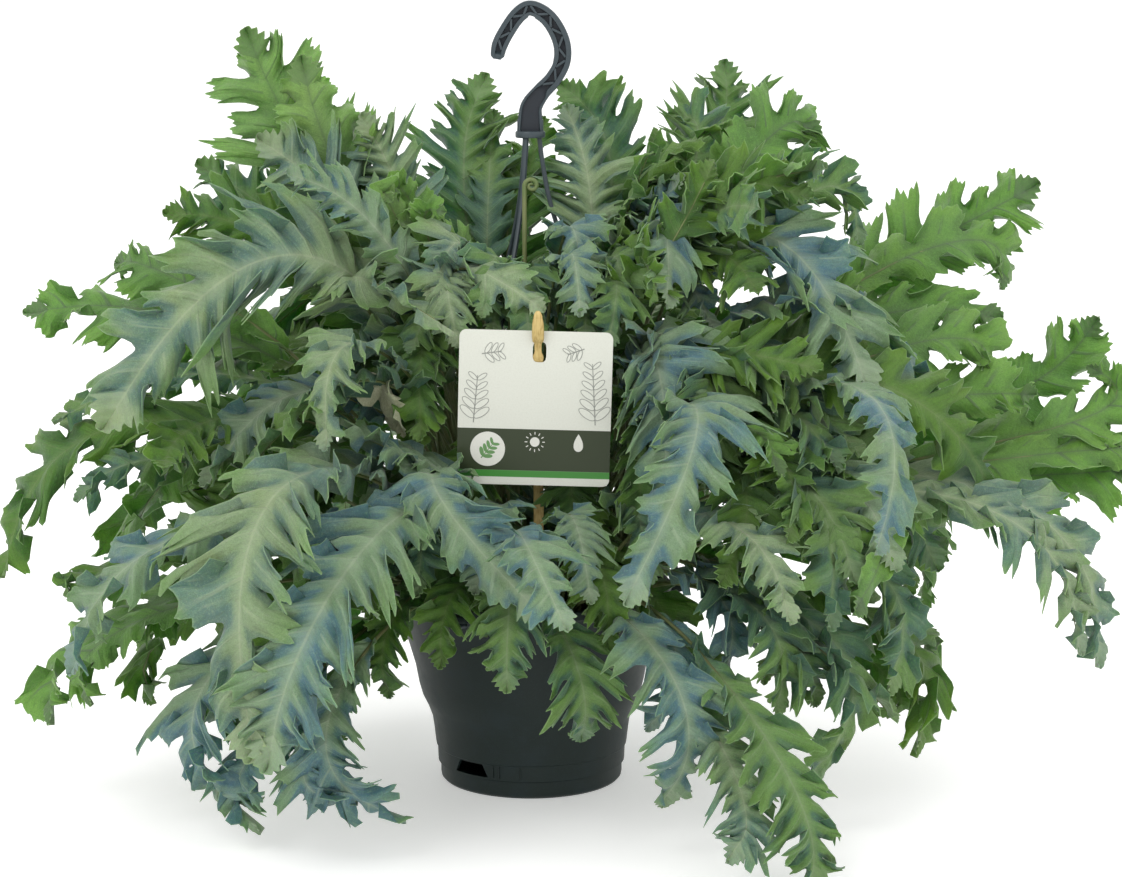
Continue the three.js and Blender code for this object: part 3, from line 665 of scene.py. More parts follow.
class FrondLine:
    """A frond's middle line and the directions across it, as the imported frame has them"""

    def __init__(self, azimuth, radius, lift, shoulder, tip, turn):
        start = on_circle(radius, azimuth, SOIL_CROWN)
        middle, end = Vector(shoulder), Vector(tip)
        first = (middle - start).length
        share = min(max(first / (first + (end - middle).length), SHOULDER_RANGE[0]), SHOULDER_RANGE[1])
        rest = 1 - share
        rise = start + UP * lift
        arch = middle - start * rest ** 3 - rise * (3 * rest * rest * share) - end * share ** 3
        arch /= 3 * rest * share * share
        self.points = (start, rise, arch, end)
        self.blade_start = share - BLADE_LEAD
        outward = Vector((shoulder[0] + tip[0], shoulder[1] + tip[1], 0))
        outward -= 2 * on_circle(radius, azimuth, 0)
        self.across = UP.cross(outward.normalized())
        self.roll = 0.0
        _, _, side, face = self.frame(0.5 + self.blade_start / 2)
        self.roll = turn * math.atan2(VIEWER.dot(side), VIEWER.dot(face))

    def frame(self, t):
        """Place, direction, side and face at t, from 0 at the stem's foot to 1 at the line's end"""
        a, b, c, d = self.points
        s = 1 - t
        place = a * s ** 3 + b * (3 * s * s * t) + c * (3 * s * t * t) + d * t ** 3
        along = ((b - a) * (s * s) + (c - b) * (2 * s * t) + (d - c) * (t * t)).normalized()
        side = (self.across - along * self.across.dot(along)).normalized()
        face = along.cross(side)
        angle = self.roll * smooth(0.05, self.blade_start, t)
        turned_face = face * math.cos(angle) + side * math.sin(angle)
        side = side * math.cos(angle) - face * math.sin(angle)
        return place, along, side, turned_face

    def at(self, s):
        """The same at s, from 0 to 1 along the blade"""
        return self.frame(self.blade_start + (1 - self.blade_start) * s * BLADE_END)


def blade_width(half, s):
    """Half width of a blade at s along it"""
    return half * math.sin(math.pi * (0.1 + 0.78 * s)) ** 0.8


def saw(value):
    """A row of teeth, one for each whole step, from 0 to 1"""
    return abs(2 * (value - math.floor(value)) - 1)


def split_lobe(x, number, sign):
    """The lobe at x along one side of a blade, and the share of the way across it"""
    edge = lambda lobe: lobe + EDGE_SPREAD * scatter(number + 0.9, lobe * sign)
    lobe = math.floor(x)
    if x < edge(lobe):
        lobe -= 1
    elif x >= edge(lobe + 1):
        lobe += 1
    return lobe, (x - edge(lobe)) / (edge(lobe + 1) - edge(lobe))


def relief(number, half, aside, a, q, out, ridge, tilt):
    """How far a point of a blade stands over its flat frame"""
    height = -ARCH_SHARE * aside * aside / half
    height += tilt * RUFFLE_SHARE * half * (1.15 - 1.3 * q) * smooth(0.2, 1.1, a) * 1.25
    height += RIDGE_SHARE * half * (ridge - 0.4) * smooth(0.0, 0.4, a) * (1 - 0.6 * out)
    height -= DROOP_SHARE * half * out * out * (1.25 - abs(tilt))
    roll = math.sin(2 * math.pi * (1.3 * q + 0.6 * out + scatter(number + 0.2, tilt)))
    height += ROLL_SHARE * half * roll * out ** 1.2
    height += FLUTTER_SHARE * half * math.sin(2 * math.pi * (3.1 * q + tilt)) * out ** 2
    return height - RIB_SINK * half * smooth(0.22, 0.0, a)


def frond_blade(name, line, half, lobes, number, style, columns, rows):
    """The ruffled blade: a grid whose columns fan out past the wing into toothed lobes"""
    count = lobes * columns
    total = count + TIP_COLUMNS
    tip_reach = blade_width(half, 1)
    tip_frame = line.at(1)
    frames = {}
    marks = {}
    pitch = sum((line.at((k + 1) / 8)[0] - line.at(k / 8)[0]).length for k in range(8)) / lobes

    def side_lobe(step, sign, a):
        """Share of the way across the lobe, its tilt, wing, reach, fan and length"""
        s = step / lobes
        lobe, p = split_lobe(step + (0.5 if sign > 0 else 0.0), number, sign)
        key = lobe * sign + 0.25 * sign
        # Half width of the blade and of its wing here
        width = blade_width(half, s) * (1 + 0.09 * math.sin(9 * s + number + sign))
        wing = style.wing_share * width * smooth(-0.02, 0.12, s)
        wing = max(wing * (1 + WING_SPREAD * scatter(number + 0.3, key)), STEM_HALF_WIDTH)
        q = min(max((p - style.gap) / (1 - 2 * style.gap), 0.0), 1.0)
        # Outline of the lobe: round shoulders, a crown, large and small teeth
        rise = smooth(0, 0.16, min(q, 1 - q)) ** 0.6
        crown = 1 - style.crown_drop * abs(2 * q - 1) ** style.crown_power + 0.12 * (q - 0.5)
        phase = 0.5 * scatter(number, key)
        cut = 1 + style.tooth_depth * (saw(q * style.teeth + phase) - 0.6)
        cut += style.small_depth * (saw(q * style.small_teeth + phase) - 0.5)
        ends = smooth(0.0, 0.09, s) if s < 0.5 else 1.0
        length = width * (1 + LENGTH_SPREAD * scatter(number + 0.5, key)) - wing
        length *= 0.35 + 0.65 * ends
        reach = wing + max(length * rise * crown * cut, 0.4)
        # The lobe's own lean and bend, and neighbours tilted to opposite sides
        fan = LOBE_FAN * (2 * q - 1) + LEAN_SPREAD * scatter(number + 0.7, key)
        fan += CURVE_SPREAD * scatter(number + 0.4, key) * smooth(WING_ROWS, 1.2, a)
        tilt = (1 if lobe % 2 == 0 else -1) * (0.6 + 0.8 * abs(scatter(number, key)))
        return q, tilt, wing, reach, fan, length

    def end_lobe(tip, sign):
        """The same for the end of the blade, which is all wing"""
        extent = tip_reach * TIP_WIDTH * (1 - tip) ** 0.7 * (0.72 + 0.4 * saw(tip * 3.4 + 0.2 * sign))
        wing = max(extent, 0.3)
        return 0.5, 0.0, wing, wing, 0.0, 0.0

    def where(u, v):
        j = round(u * total)
        sign = 1 if v > 0.5 else -1
        a = abs(2 * v - 1)
        if j > count:
            tip = (j - count) / TIP_COLUMNS
            place, along, side, face = tip_frame
            place = place + along * (tip * tip_reach * TIP_LENGTH)
            q, tilt, wing, reach, fan, length = end_lobe(tip, sign)
        else:
            # The columns gather where the lobes of either side meet
            step = j / columns
            step -= 0.35 * math.sin(4 * math.pi * step) / (4 * math.pi)
            if j not in frames:
                frames[j] = line.at(step / lobes)
            place, along, side, face = frames[j]
            q, tilt, wing, reach, fan, length = side_lobe(step, sign, a)
        finger = 0.0
        if a < WING_ROWS:
            wing = a / WING_ROWS * wing
        else:
            finger = (a - WING_ROWS) / (1 - WING_ROWS) * (reach - wing)
        aside = wing * math.cos(LOBE_LEAN) + finger * math.cos(LOBE_LEAN + fan)
        ahead = wing * math.sin(LOBE_LEAN) + finger * math.sin(LOBE_LEAN + fan)
        out = finger / length if length else 0.0
        ahead += (q - 0.5) * pitch * style.waist * (0.95 * smooth(0.35, 0.8, out) - smooth(0.0, 0.25, out))
        ridge = 0.5 - 0.5 * math.cos(2 * math.pi * q)
        height = relief(number, half, aside, a, q, out, ridge, tilt)
        point = place + along * ahead + side * (sign * aside) + face * height
        point.z = max(point.z, LOWEST)
        marks[(round(v * rows), j)] = (a, ridge, out, u)
        return point

    obj = skin(name, total, rows, where)
    attribute = obj.data.color_attributes.new(BLADE_MARKS, "FLOAT_COLOR", "POINT")
    for corner, mark in zip(attribute.data, (marks[key] for key in sorted(marks))):
        corner.color = mark
    return obj


def frond_stem(name, line, half, rings, sides):
    """The stem from its hole to the blade, running on as the rib under the blade"""
    radius_at = lambda t: (STEM_HALF_WIDTH - 0.4 * smooth(0, line.blade_start, t)
                           - 0.95 * smooth(line.blade_start, 1.0, t))
    line_end = line.blade_start + (1 - line.blade_start) * BLADE_END

    def where(u, v):
        t = max(u - STEM_IN_HOLE, 0) / (1 - STEM_IN_HOLE) * line_end
        place, _, side, face = line.frame(t)
        if u < STEM_IN_HOLE / 2:
            place = Vector((place.x, place.y, HOLE_BOTTOM))
        radius = radius_at(t)
        inside = smooth(line.blade_start, line.blade_start + 0.1, t)
        centre = place - face * (0.05 * half * inside + 0.1 * inside)
        return on_ring(centre, side, face, radius, radius, v)

    return skin(name, rings, sides, where, tube=True)


def make_frond(name, row, number, tone, settings, detail=FINE):
    """Blade and stem of one row of the tables; its number sets how its lobes vary"""
    azimuth, radius, lift, shoulder, tip, half, lobes, turn = row
    line = FrondLine(azimuth, radius, lift, shoulder, tip, turn)
    style = LOBE_STYLES[tone]
    lobes = max(round(lobes * style.lobe_factor * settings.lobe_factor * detail.lobes), 3)
    columns = round(settings.columns * detail.mesh * style.column_share)
    rows = 2 * round(settings.rows * detail.mesh / 2)
    blade = frond_blade(name, line, half, lobes, number, style, columns, rows)
    apply_modifier(blade, "SOLIDIFY", thickness=settings.thickness, offset=0, material_offset=1,
                   material_offset_rim=0)
    return blade, frond_stem(name + "_stem", line, half, detail.rings, detail.sides)


# Tones of the inner fronds, taken in a mixed order; most are deep, partly painted shade inside the plant
INNER_TONES = ("deep", "deep", "mid", "deep", "mid", "blue", "deep", "light")
# Tiers of the fronds inside the plant: shoulder's share of the plant's reach, its height,
# tip's share, its height, half width, lobe pairs
INNER_TIERS = [
    (0.46, 175, 0.78, 78, 36, 5),
    (0.56, 262, 0.86, 176, 42, 6),
    (0.50, 345, 0.80, 300, 42, 6),
    (0.40, 225, 0.62, 130, 34, 5),
    (0.36, 405, 0.58, 415, 40, 5),
    (0.30, 320, 0.50, 280, 34, 5),
    (0.60, 300, 0.92, 250, 40, 6),
    (0.20, 410, 0.36, 440, 36, 5),
]


# Fronds beside the frame's own, with forks, new growth and fillers, as in FRONDS
SIDE_FRONDS = [
    ("front_left_fork", 246, 52, 120, (-64, -124, 258), (12, -200, 168), 50, 6, 0.3, "blue"),
    ("big_left_fork", 214, 36, 170, (-128, -70, 385), (-50, -118, 352), 34, 5, 0.4, "sage"),
    ("top_left_lower", 166, 34, 170, (-108, -12, 402), (-188, -18, 478), 50, 6, 0.9, "sage"),
    ("top_left_inner", 150, 30, 170, (-84, 10, 418), (-118, 4, 490), 40, 5, 0.9, "sage"),
    ("top_left_outer", 172, 40, 160, (-168, 10, 392), (-262, 6, 428), 38, 5, 0.8, "deep"),
    ("crown_left_low", 236, 30, 170, (-52, -44, 372), (-84, -84, 338), 30, 5, 0.2, "mid"),
    ("crown_middle_low", 262, 26, 170, (-14, -48, 372), (-26, -92, 352), 26, 5, 0.3, "mid"),
    ("crown_right_low", 296, 26, 170, (34, -44, 372), (40, -92, 350), 28, 5, 0.3, "mid"),
    ("crown_right_outer", 320, 30, 170, (88, -30, 380), (132, -70, 352), 34, 5, 0.2, "blue"),
    ("new_growth_1", 230, 24, 190, (-70, -20, 400), (-92, -44, 424), 20, 4, 0.8, "pale"),
    ("new_growth_2", 214, 30, 190, (-96, -24, 392), (-124, -48, 402), 20, 4, 0.8, "light"),
    ("new_growth_3", 244, 22, 190, (-46, -30, 392), (-58, -62, 408), 18, 4, 0.7, "pale"),
    ("new_growth_4", 200, 30, 190, (-78, -10, 418), (-98, -26, 448), 18, 4, 0.9, "light"),
    ("new_growth_5", 330, 24, 190, (62, -18, 400), (84, -44, 412), 18, 4, 0.8, "light"),
    ("curtain_1", 252, 84, 55, (-45, -120, 178), (-62, -150, 128), 30, 4, 0.0, "deep"),
    ("curtain_2", 268, 84, 60, (4, -118, 196), (-4, -140, 152), 28, 4, 0.0, "deep"),
    ("curtain_3", 286, 84, 60, (42, -122, 196), (56, -156, 142), 32, 4, 0.0, "deep"),
    ("curtain_4", 240, 70, 90, (-62, -102, 232), (-78, -140, 176), 34, 5, 0.0, "mid"),
    ("curtain_5", 296, 70, 90, (66, -104, 236), (84, -140, 186), 34, 5, 0.0, "mid"),
    ("behind_card_1", 258, 50, 110, (-30, -78, 265), (-46, -104, 205), 34, 5, 0.2, "deep"),
    ("behind_card_2", 282, 50, 110, (24, -76, 262), (34, -102, 200), 34, 5, 0.2, "deep"),
    ("behind_card_3", 232, 44, 150, (-68, -66, 330), (-84, -96, 262), 34, 5, 0.3, "deep"),
    ("behind_card_4", 300, 44, 150, (66, -62, 330), (92, -92, 270), 34, 5, 0.3, "deep"),
    ("top_left_broad", 161, 67, 190, (-132, 5, 435), (-166, 15, 528), 50, 5, 1.0, "pale"),
    ("far_left_spike", 175, 90, 174, (-240, -20, 373), (-303, 0, 393), 30, 4, 0.6, "light"),
    ("left_fill_1", 189, 90, 105, (-241, -80, 261), (-316, -100, 239), 36, 5, 0.2, "mid"),
    ("left_fill_2", 188, 90, 56, (-276, -80, 183), (-330, -110, 172), 24, 4, 0.2, "deep"),
    ("left_fill_3", 194, 90, 50, (-276, -110, 148), (-314, -130, 96), 30, 4, 0.2, "light"),
    ("low_fill_1", 216, 85, 50, (-137, -140, 168), (-175, -190, 73), 40, 5, 0.0, "deep"),
    ("low_fill_2", 222, 74, 50, (-93, -125, 157), (-100, -135, 100), 26, 4, 0.0, "deep"),
    ("low_fill_3", 216, 90, 50, (-181, -170, 85), (-196, -190, 37), 34, 4, 0.0, "blue"),
    ("low_fill_4", 225, 90, 50, (-151, -190, 83), (-121, -205, 41), 28, 4, 0.0, "blue"),
    ("low_fill_5", 305, 90, 50, (132, -225, 86), (139, -285, 35), 38, 5, 0.0, "sage"),
    ("low_fill_6", 312, 81, 50, (101, -150, 141), (85, -165, 84), 28, 4, 0.0, "blue"),
    ("low_fill_7", 327, 90, 50, (169, -150, 154), (201, -155, 103), 34, 4, 0.0, "mid"),
    ("far_right_front", 347, 90, 91, (286, -105, 239), (392, -120, 123), 40, 7, 0.2, "sage"),
    ("right_fill_1", 8, 90, 148, (279, 0, 331), (338, -10, 320), 34, 4, 0.7, "light"),
    ("right_fill_2", 18, 90, 188, (301, 60, 397), (359, 60, 372), 30, 4, 0.8, "light"),
    ("right_fill_3", 4, 90, 109, (382, -10, 268), (418, 0, 314), 28, 4, 0.8, "light"),
    ("right_fill_4", 3, 90, 98, (371, -20, 251), (429, -20, 256), 28, 4, 0.7, "light"),
    ("top_fill_1", 41, 43, 190, (46, 0, 413), (29, 30, 500), 38, 5, 1.0, "sage"),
    ("top_fill_2", 30, 64, 190, (119, 30, 448), (114, 50, 498), 34, 4, 1.0, "mid"),
    ("top_fill_3", 11, 86, 190, (199, 0, 439), (243, 0, 409), 30, 4, 0.6, "mid"),
    ("canopy_1", 225, 34, 190, (-45, -55, 407), (-69, -90, 375), 30, 4, 0.3, "sage"),
    ("canopy_2", 250, 30, 190, (-20, -66, 399), (-33, -100, 366), 28, 4, 0.3, "mid"),
    ("canopy_3", 290, 30, 190, (26, -66, 402), (36, -100, 366), 28, 4, 0.3, "blue"),
    ("canopy_4", 310, 34, 190, (55, -56, 399), (66, -90, 362), 30, 4, 0.3, "mid"),
    ("low_fill_8", 305, 84, 60, (122, -130, 180), (134, -150, 112), 34, 4, 0.0, "blue"),
    ("low_fill_9", 318, 88, 60, (154, -120, 186), (166, -140, 112), 34, 4, 0.0, "deep"),
    ("dry_leaf", 228, 40, 140, (-99, -84, 316), (-90, -92, 280), 26, 3, 0.1, "dry"),
    ("canopy_5", 268, 24, 180, (-4, -60, 390), (0, -104, 350), 28, 4, 0.2, "mid"),
    ("canopy_6", 235, 34, 180, (-56, -70, 388), (-50, -106, 345), 30, 4, 0.2, "sage"),
    ("canopy_7", 305, 34, 180, (58, -70, 385), (56, -106, 345), 30, 4, 0.2, "mid"),
    ("beside_card_1", 320, 50, 157, (92, -90, 352), (92, -113, 245), 42, 6, 0.0, "blue"),
    ("beside_card_2", 215, 50, 157, (-72, -60, 346), (-77, -110, 277), 34, 5, 0.2, "deep"),
    ("left_of_card_low", 236, 56, 120, (-58, -104, 254), (-125, -122, 288), 40, 5, 0.2, "blue"),
    ("low_fill_10", 228, 70, 80, (-98, -110, 212), (-111, -136, 163), 36, 4, 0.0, "deep"),
    ("beside_card_4", 305, 50, 120, (71, -84, 308), (76, -110, 269), 32, 4, 0.1, "deep"),
    ("below_card_right", 284, 70, 90, (30, -132, 227), (43, -172, 176), 26, 5, 0.0, "blue"),
    ("low_fill_11", 214, 76, 80, (-163, -110, 219), (-182, -150, 199), 34, 4, 0.0, "mid"),
    ("card_side", 310, 50, 140, (79, -98, 338), (93, -150, 204), 46, 6, 0.9, "blue"),
    ("new_growth_6", 206, 30, 190, (-92, -30, 418), (-103, -44, 445), 20, 4, 0.8, "pale"),
    ("new_growth_7", 222, 26, 190, (-71, -40, 406), (-64, -56, 435), 18, 4, 0.8, "light"),
    ("new_growth_8", 202, 34, 190, (-117, -30, 396), (-134, -50, 417), 20, 4, 0.8, "pale"),
    ("below_card_left", 252, 64, 90, (-21, -112, 231), (-36, -150, 181), 34, 5, 0.0, "blue"),
    ("back_fill_1", 70, 56, 110, (45, 110, 290), (72, 168, 215), 38, 5, 0.0, "deep"),
    ("back_fill_2", 90, 56, 120, (-2, 118, 305), (-4, 178, 225), 38, 5, 0.0, "mid"),
    ("back_fill_3", 110, 56, 110, (-48, 110, 290), (-74, 168, 212), 38, 5, 0.0, "deep"),
    ("back_fill_4", 80, 76, 70, (24, 108, 232), (32, 150, 165), 34, 4, 0.0, "sage"),
    ("back_fill_5", 102, 76, 70, (-26, 108, 232), (-34, 150, 165), 34, 4, 0.0, "deep"),
    ("front_left_main", 246, 86, 190, (-84, -180, 240), (-168, -284, 96), 58, 9, 0.35, "blue"),
    ("low_fill_12", 312, 84, 60, (149, -150, 173), (173, -180, 102), 36, 4, 0.0, "mid"),
    ("beside_card_3", 315, 60, 111, (71, -80, 272), (79, -120, 221), 30, 4, 0.0, "deep"),
]


# Half width past which a side frond gets the fine mesh of the frame's own
BROAD_FROND = 49
# Number of the first side frond, past those of the frame's own
SIDE_NUMBER = 100
# Fronds in each joined piece of side and inner fronds
BUNCH_SIZE = 16
# The plant's reach sideways and in depth, and the share that it loses towards the open front
PLANT_REACH = (365, 275)
FRONT_AZIMUTH = 270
FRONT_SHRINK = 0.38
# Places that an inner frond tries, and the step between them in degrees
INNER_TRIES = 12
TRY_STEP = 29

# Boxes that the inner fronds leave open: before the card, the hanger and the pot's front
OPEN_BOXES = [
    ((-60, -400, 232), (72, -88, 368)),
    ((-52, -400, 405), (48, 34, 620)),
    ((-104, -400, -1), (52, -86, 132)),
]


def in_the_way(line, half):
    """Whether a frond crosses one of the open boxes"""
    for s in (step / 10 for step in range(11)):
        place, _, side, _ = line.at(s)
        for share in (-0.85, 0, 0.85):
            point = place + side * (share * blade_width(half, s))
            for low, high in OPEN_BOXES:
                if all(low[i] < point[i] < high[i] for i in range(3)):
                    return True
    return False


def inner_frond_rows(count):
    """Fronds that fill the plant, spread by the golden angle over the tiers"""
    for k in range(count):
        shoulder_share, height, tip_share, tip_height, half, lobes = INNER_TIERS[k % len(INNER_TIERS)]
        tone = INNER_TONES[(k * 5 + k // 8) % len(INNER_TONES)]
        half *= 1 + 0.15 * scatter(k, 7)
        for attempt in range(INNER_TRIES):
            azimuth = (k * GOLDEN_ANGLE + attempt * TRY_STEP) % 360
            angle = math.radians(azimuth)
            reach = 1 / math.hypot(math.cos(angle) / PLANT_REACH[0], math.sin(angle) / PLANT_REACH[1])
            reach *= 1 - FRONT_SHRINK * smooth(62, 22, abs(azimuth - FRONT_AZIMUTH))
            shoulder = on_circle(reach * shoulder_share * (1 + 0.14 * scatter(k, 1)),
                                 azimuth + 9 * scatter(k, 2), height * (1 + 0.08 * scatter(k, 3)))
            tip = on_circle(reach * tip_share * (1 + 0.12 * scatter(k, 3)), azimuth + 22 * scatter(k, 4),
                            max(tip_height * (1 + 0.14 * scatter(k, 5)), 40))
            row = (azimuth, 26 + 62 * abs(scatter(k, 6)), 50 + 0.36 * height, tuple(shoulder),
                   tuple(tip), half, lobes, 0.2 + 0.7 * scatter(k, 9))
            if not in_the_way(FrondLine(*row[:5], row[7]), half):
                break
        yield row, tone


# ---------------------------------------------------------------- fronds

# Edges of leaves and stems blunter than this are smooth, in degrees
SOFT_ANGLE = 60
# The curled shoot: its foot, where its curl starts and at what share of its length, turns, radius
CROZIER_FOOT = on_circle(26, 262, SOIL_CROWN - 3)
CROZIER_TOP = Vector((-4, -34, 452))
CURL_FROM = 0.4
CURL_TURNS = 1.35
CURL_RADIUS = 5.2


class FERN_OT_fronds(bpy.types.Operator):
    """Builds the frame's fronds, the side and inner fronds and a curled shoot"""
    bl_idname = "fern.fronds"
    bl_label = "Fronds"

    def execute(self, context):
        settings = context.scene.fern_foliage
        stem = stem_finish()
        finishes = {tone: (leaf_finish(f"blade_{tone}", tone),
                           leaf_finish(f"underside_{tone}", tone, True), stem)
                    for tone in LEAF_TONES}
        for number, (name, *row, tone) in enumerate(FRONDS):
            frond = self.frond("fern_" + name, row, number, tone, settings, finishes)
            dress(frond, self.slot(tone), replaces=["frond_" + name], angle=SOFT_ANGLE)
        bunches = {}
        side_rows = [(row, tone) for _, *row, tone in SIDE_FRONDS]
        for k, (row, tone) in enumerate([*side_rows, *inner_frond_rows(settings.inner_fronds)]):
            detail = FINE if row[5] > BROAD_FROND else COARSE
            frond = self.frond(f"inner_{k}", row, SIDE_NUMBER + k, tone, settings, finishes, detail)
            bunches.setdefault(tone, []).append(frond)
        dress(self.crozier(), "leaf_deep", stem, angle=SOFT_ANGLE)
        for tone, members in bunches.items():
            for start in range(0, len(members), BUNCH_SIZE):
                name = f"inner_fronds_{tone}_{start // BUNCH_SIZE}"
                bunch = join(members[start:start + BUNCH_SIZE], name)
                dress(bunch, self.slot(tone), angle=SOFT_ANGLE)
        return {"FINISHED"}

    def frond(self, name, row, number, tone, settings, finishes, detail=FINE):
        """One frond in one piece, with the materials of its blade and stem"""
        blade, stalk = make_frond(name, row, number, tone, settings, detail)
        for material in finishes[tone]:
            blade.data.materials.append(material)
        stalk.data.materials.append(finishes[tone][-1])
        return join([blade, stalk], name)

    def crozier(self):
        """A young stem whose end is still curled"""
        def where(u, v):
            rise = min(u / CURL_FROM, 1.0)
            turns = max(u - CURL_FROM, 0) / (1 - CURL_FROM) * CURL_TURNS * 2 * math.pi
            place = CROZIER_FOOT.lerp(CROZIER_TOP, rise) + Vector((0, -6 * math.sin(math.pi * rise), 0))
            along, outward = UP, Vector((-1, 0, 0))
            if turns:
                outward = Vector((-math.cos(turns), 0, math.sin(turns)))
                along = Vector((math.sin(turns), 0, math.cos(turns)))
                reach = CURL_RADIUS - 0.5 * turns
                place = CROZIER_TOP + Vector((CURL_RADIUS, 0, 0)) + outward * reach
            radius = STEM_HALF_WIDTH - 0.7 * smooth(0.5, 1.0, u)
            return on_ring(place, outward, along.cross(outward), radius, radius, v)

        return skin("crozier", 60, 8, where, tube=True)

    def slot(self, tone):
        """The frame's slot for a tone"""
        return "leaf_" + SHARED_SLOTS.get(tone, tone)


# ---------------------------------------------------------------- pot and soil

# Outlines as (radius, height), turned about the pot's axis
POT_PROFILE = [
    (60, 30), (68.5, 30), (68.5, 14.3), (71, 14.3), (71.2, 20), (71.4, 26), (72.4, 27), (72.8, 29.5),
    (74, 40), (75.3, 49), (78.6, 58), (82.6, 66), (85.4, 76), (88, 90), (95.4, 115), (103.2, 141.5),
    (105.4, 143.5), (106.2, 147), (106.2, 149.4), (105.6, 150), (103.6, 150), (103, 149), (101.8, 144),
    (93.4, 115), (86, 90), (80.6, 67), (73.3, 50), (70.4, 33), (60, 33),
]
SAUCER_PROFILE = [
    (62, 0), (64.5, 0), (67, 0.8), (68.6, 2.6), (69, 5), (69, 13.4), (68.6, 14), (66.6, 14),
    (66, 13.4), (66, 4), (65, 3), (62, 3),
]
POT_TINT = (0.016, 0.028, 0.032)
# The rim lugs and the legs that stand in them: directions, radius, height of the lugs' middle
LUG_AZIMUTHS = (4, 124, 244)
LEG_FOOT = 110.0
LUG_HEIGHT = 144.5
PLASTIC_ANGLE = 32
# The water window in the foot band: direction, radius, middle height, size, narrowing of its top
WINDOW_AZIMUTH = -129.0
BAND_RADIUS = 71
WINDOW_HEIGHT = 20.6
WINDOW_SIZE = (30, 31, 9.6)
WINDOW_SLANT = 0.3
RIB_AZIMUTHS = (-113, -109, -96)


class FERN_OT_pot(bpy.types.Operator):
    """Turns the pot and saucer, and cuts the water window"""
    bl_idname = "fern.pot"
    bl_label = "Pot and saucer"

    def execute(self, context):
        settings = context.scene.fern_pot
        plastic = plastic_finish("pot_plastic_grain", tuple(settings.pot_color), POT_TINT, rough=0.46,
                                 specular=0.30, grain_scale=1300.0)
        pot = turned("hanging_pot", POT_PROFILE, settings.sides)
        cutter = block("window_cutter", WINDOW_SIZE, (BAND_RADIUS, 0, WINDOW_HEIGHT), WINDOW_AZIMUTH, 0)
        self.slant(cutter)
        cut_out(pot, cutter)
        extras = []
        for azimuth in LUG_AZIMUTHS:
            for side in (-3.7, 3.7):
                extras.append(block("lug", (9, 2.4, 5), (LEG_FOOT - 0.5, side, LUG_HEIGHT), azimuth, 0.5))
            extras.append(block("lug", (2.2, 8.6, 5), (LEG_FOOT + 3.6, 0, LUG_HEIGHT), azimuth, 0.5))
        for azimuth in RIB_AZIMUTHS:
            extras.append(block("foot_rib", (2.2, 1.1, 9), (BAND_RADIUS, 0, 20.4), azimuth, 0.5))
        pot = join([pot, *extras], "hanging_pot")
        dress(pot, "pot_plastic", plastic, replaces=["pot"], angle=PLASTIC_ANGLE)
        saucer = turned("pot_saucer", SAUCER_PROFILE, settings.sides)
        dress(saucer, "pot_plastic", plastic, replaces=["saucer"], angle=PLASTIC_ANGLE)
        return {"FINISHED"}

    def slant(self, cutter):
        """Narrows the window towards its top"""
        middle = on_circle(BAND_RADIUS, WINDOW_AZIMUTH, 0)
        across = Vector((-middle.y, middle.x, 0)).normalized()
        for vertex in cutter.data.vertices:
            if vertex.co.z > metres((0, 0, WINDOW_HEIGHT)).z:
                vertex.co -= across * vertex.co.dot(across) * WINDOW_SLANT


# Outline of the potting mix below its heaped top, and how far the top falls to its edge
SOIL_PROFILE = [(60, 33.4), (69.8, 33.4), (80, 67.4), (85.2, 90.4), (97.8, 134), (96, 136.5), (90, 137.2)]
SOIL_FALL = 3.6
# Where the mix starts to be rough, and by how much, in metres
ROUGH_FROM = 133
ROUGHNESS = 0.0008
CRUMB_REACH = 92
CRUMB_HEIGHT = 139.4
ROOTSTOCKS = 9


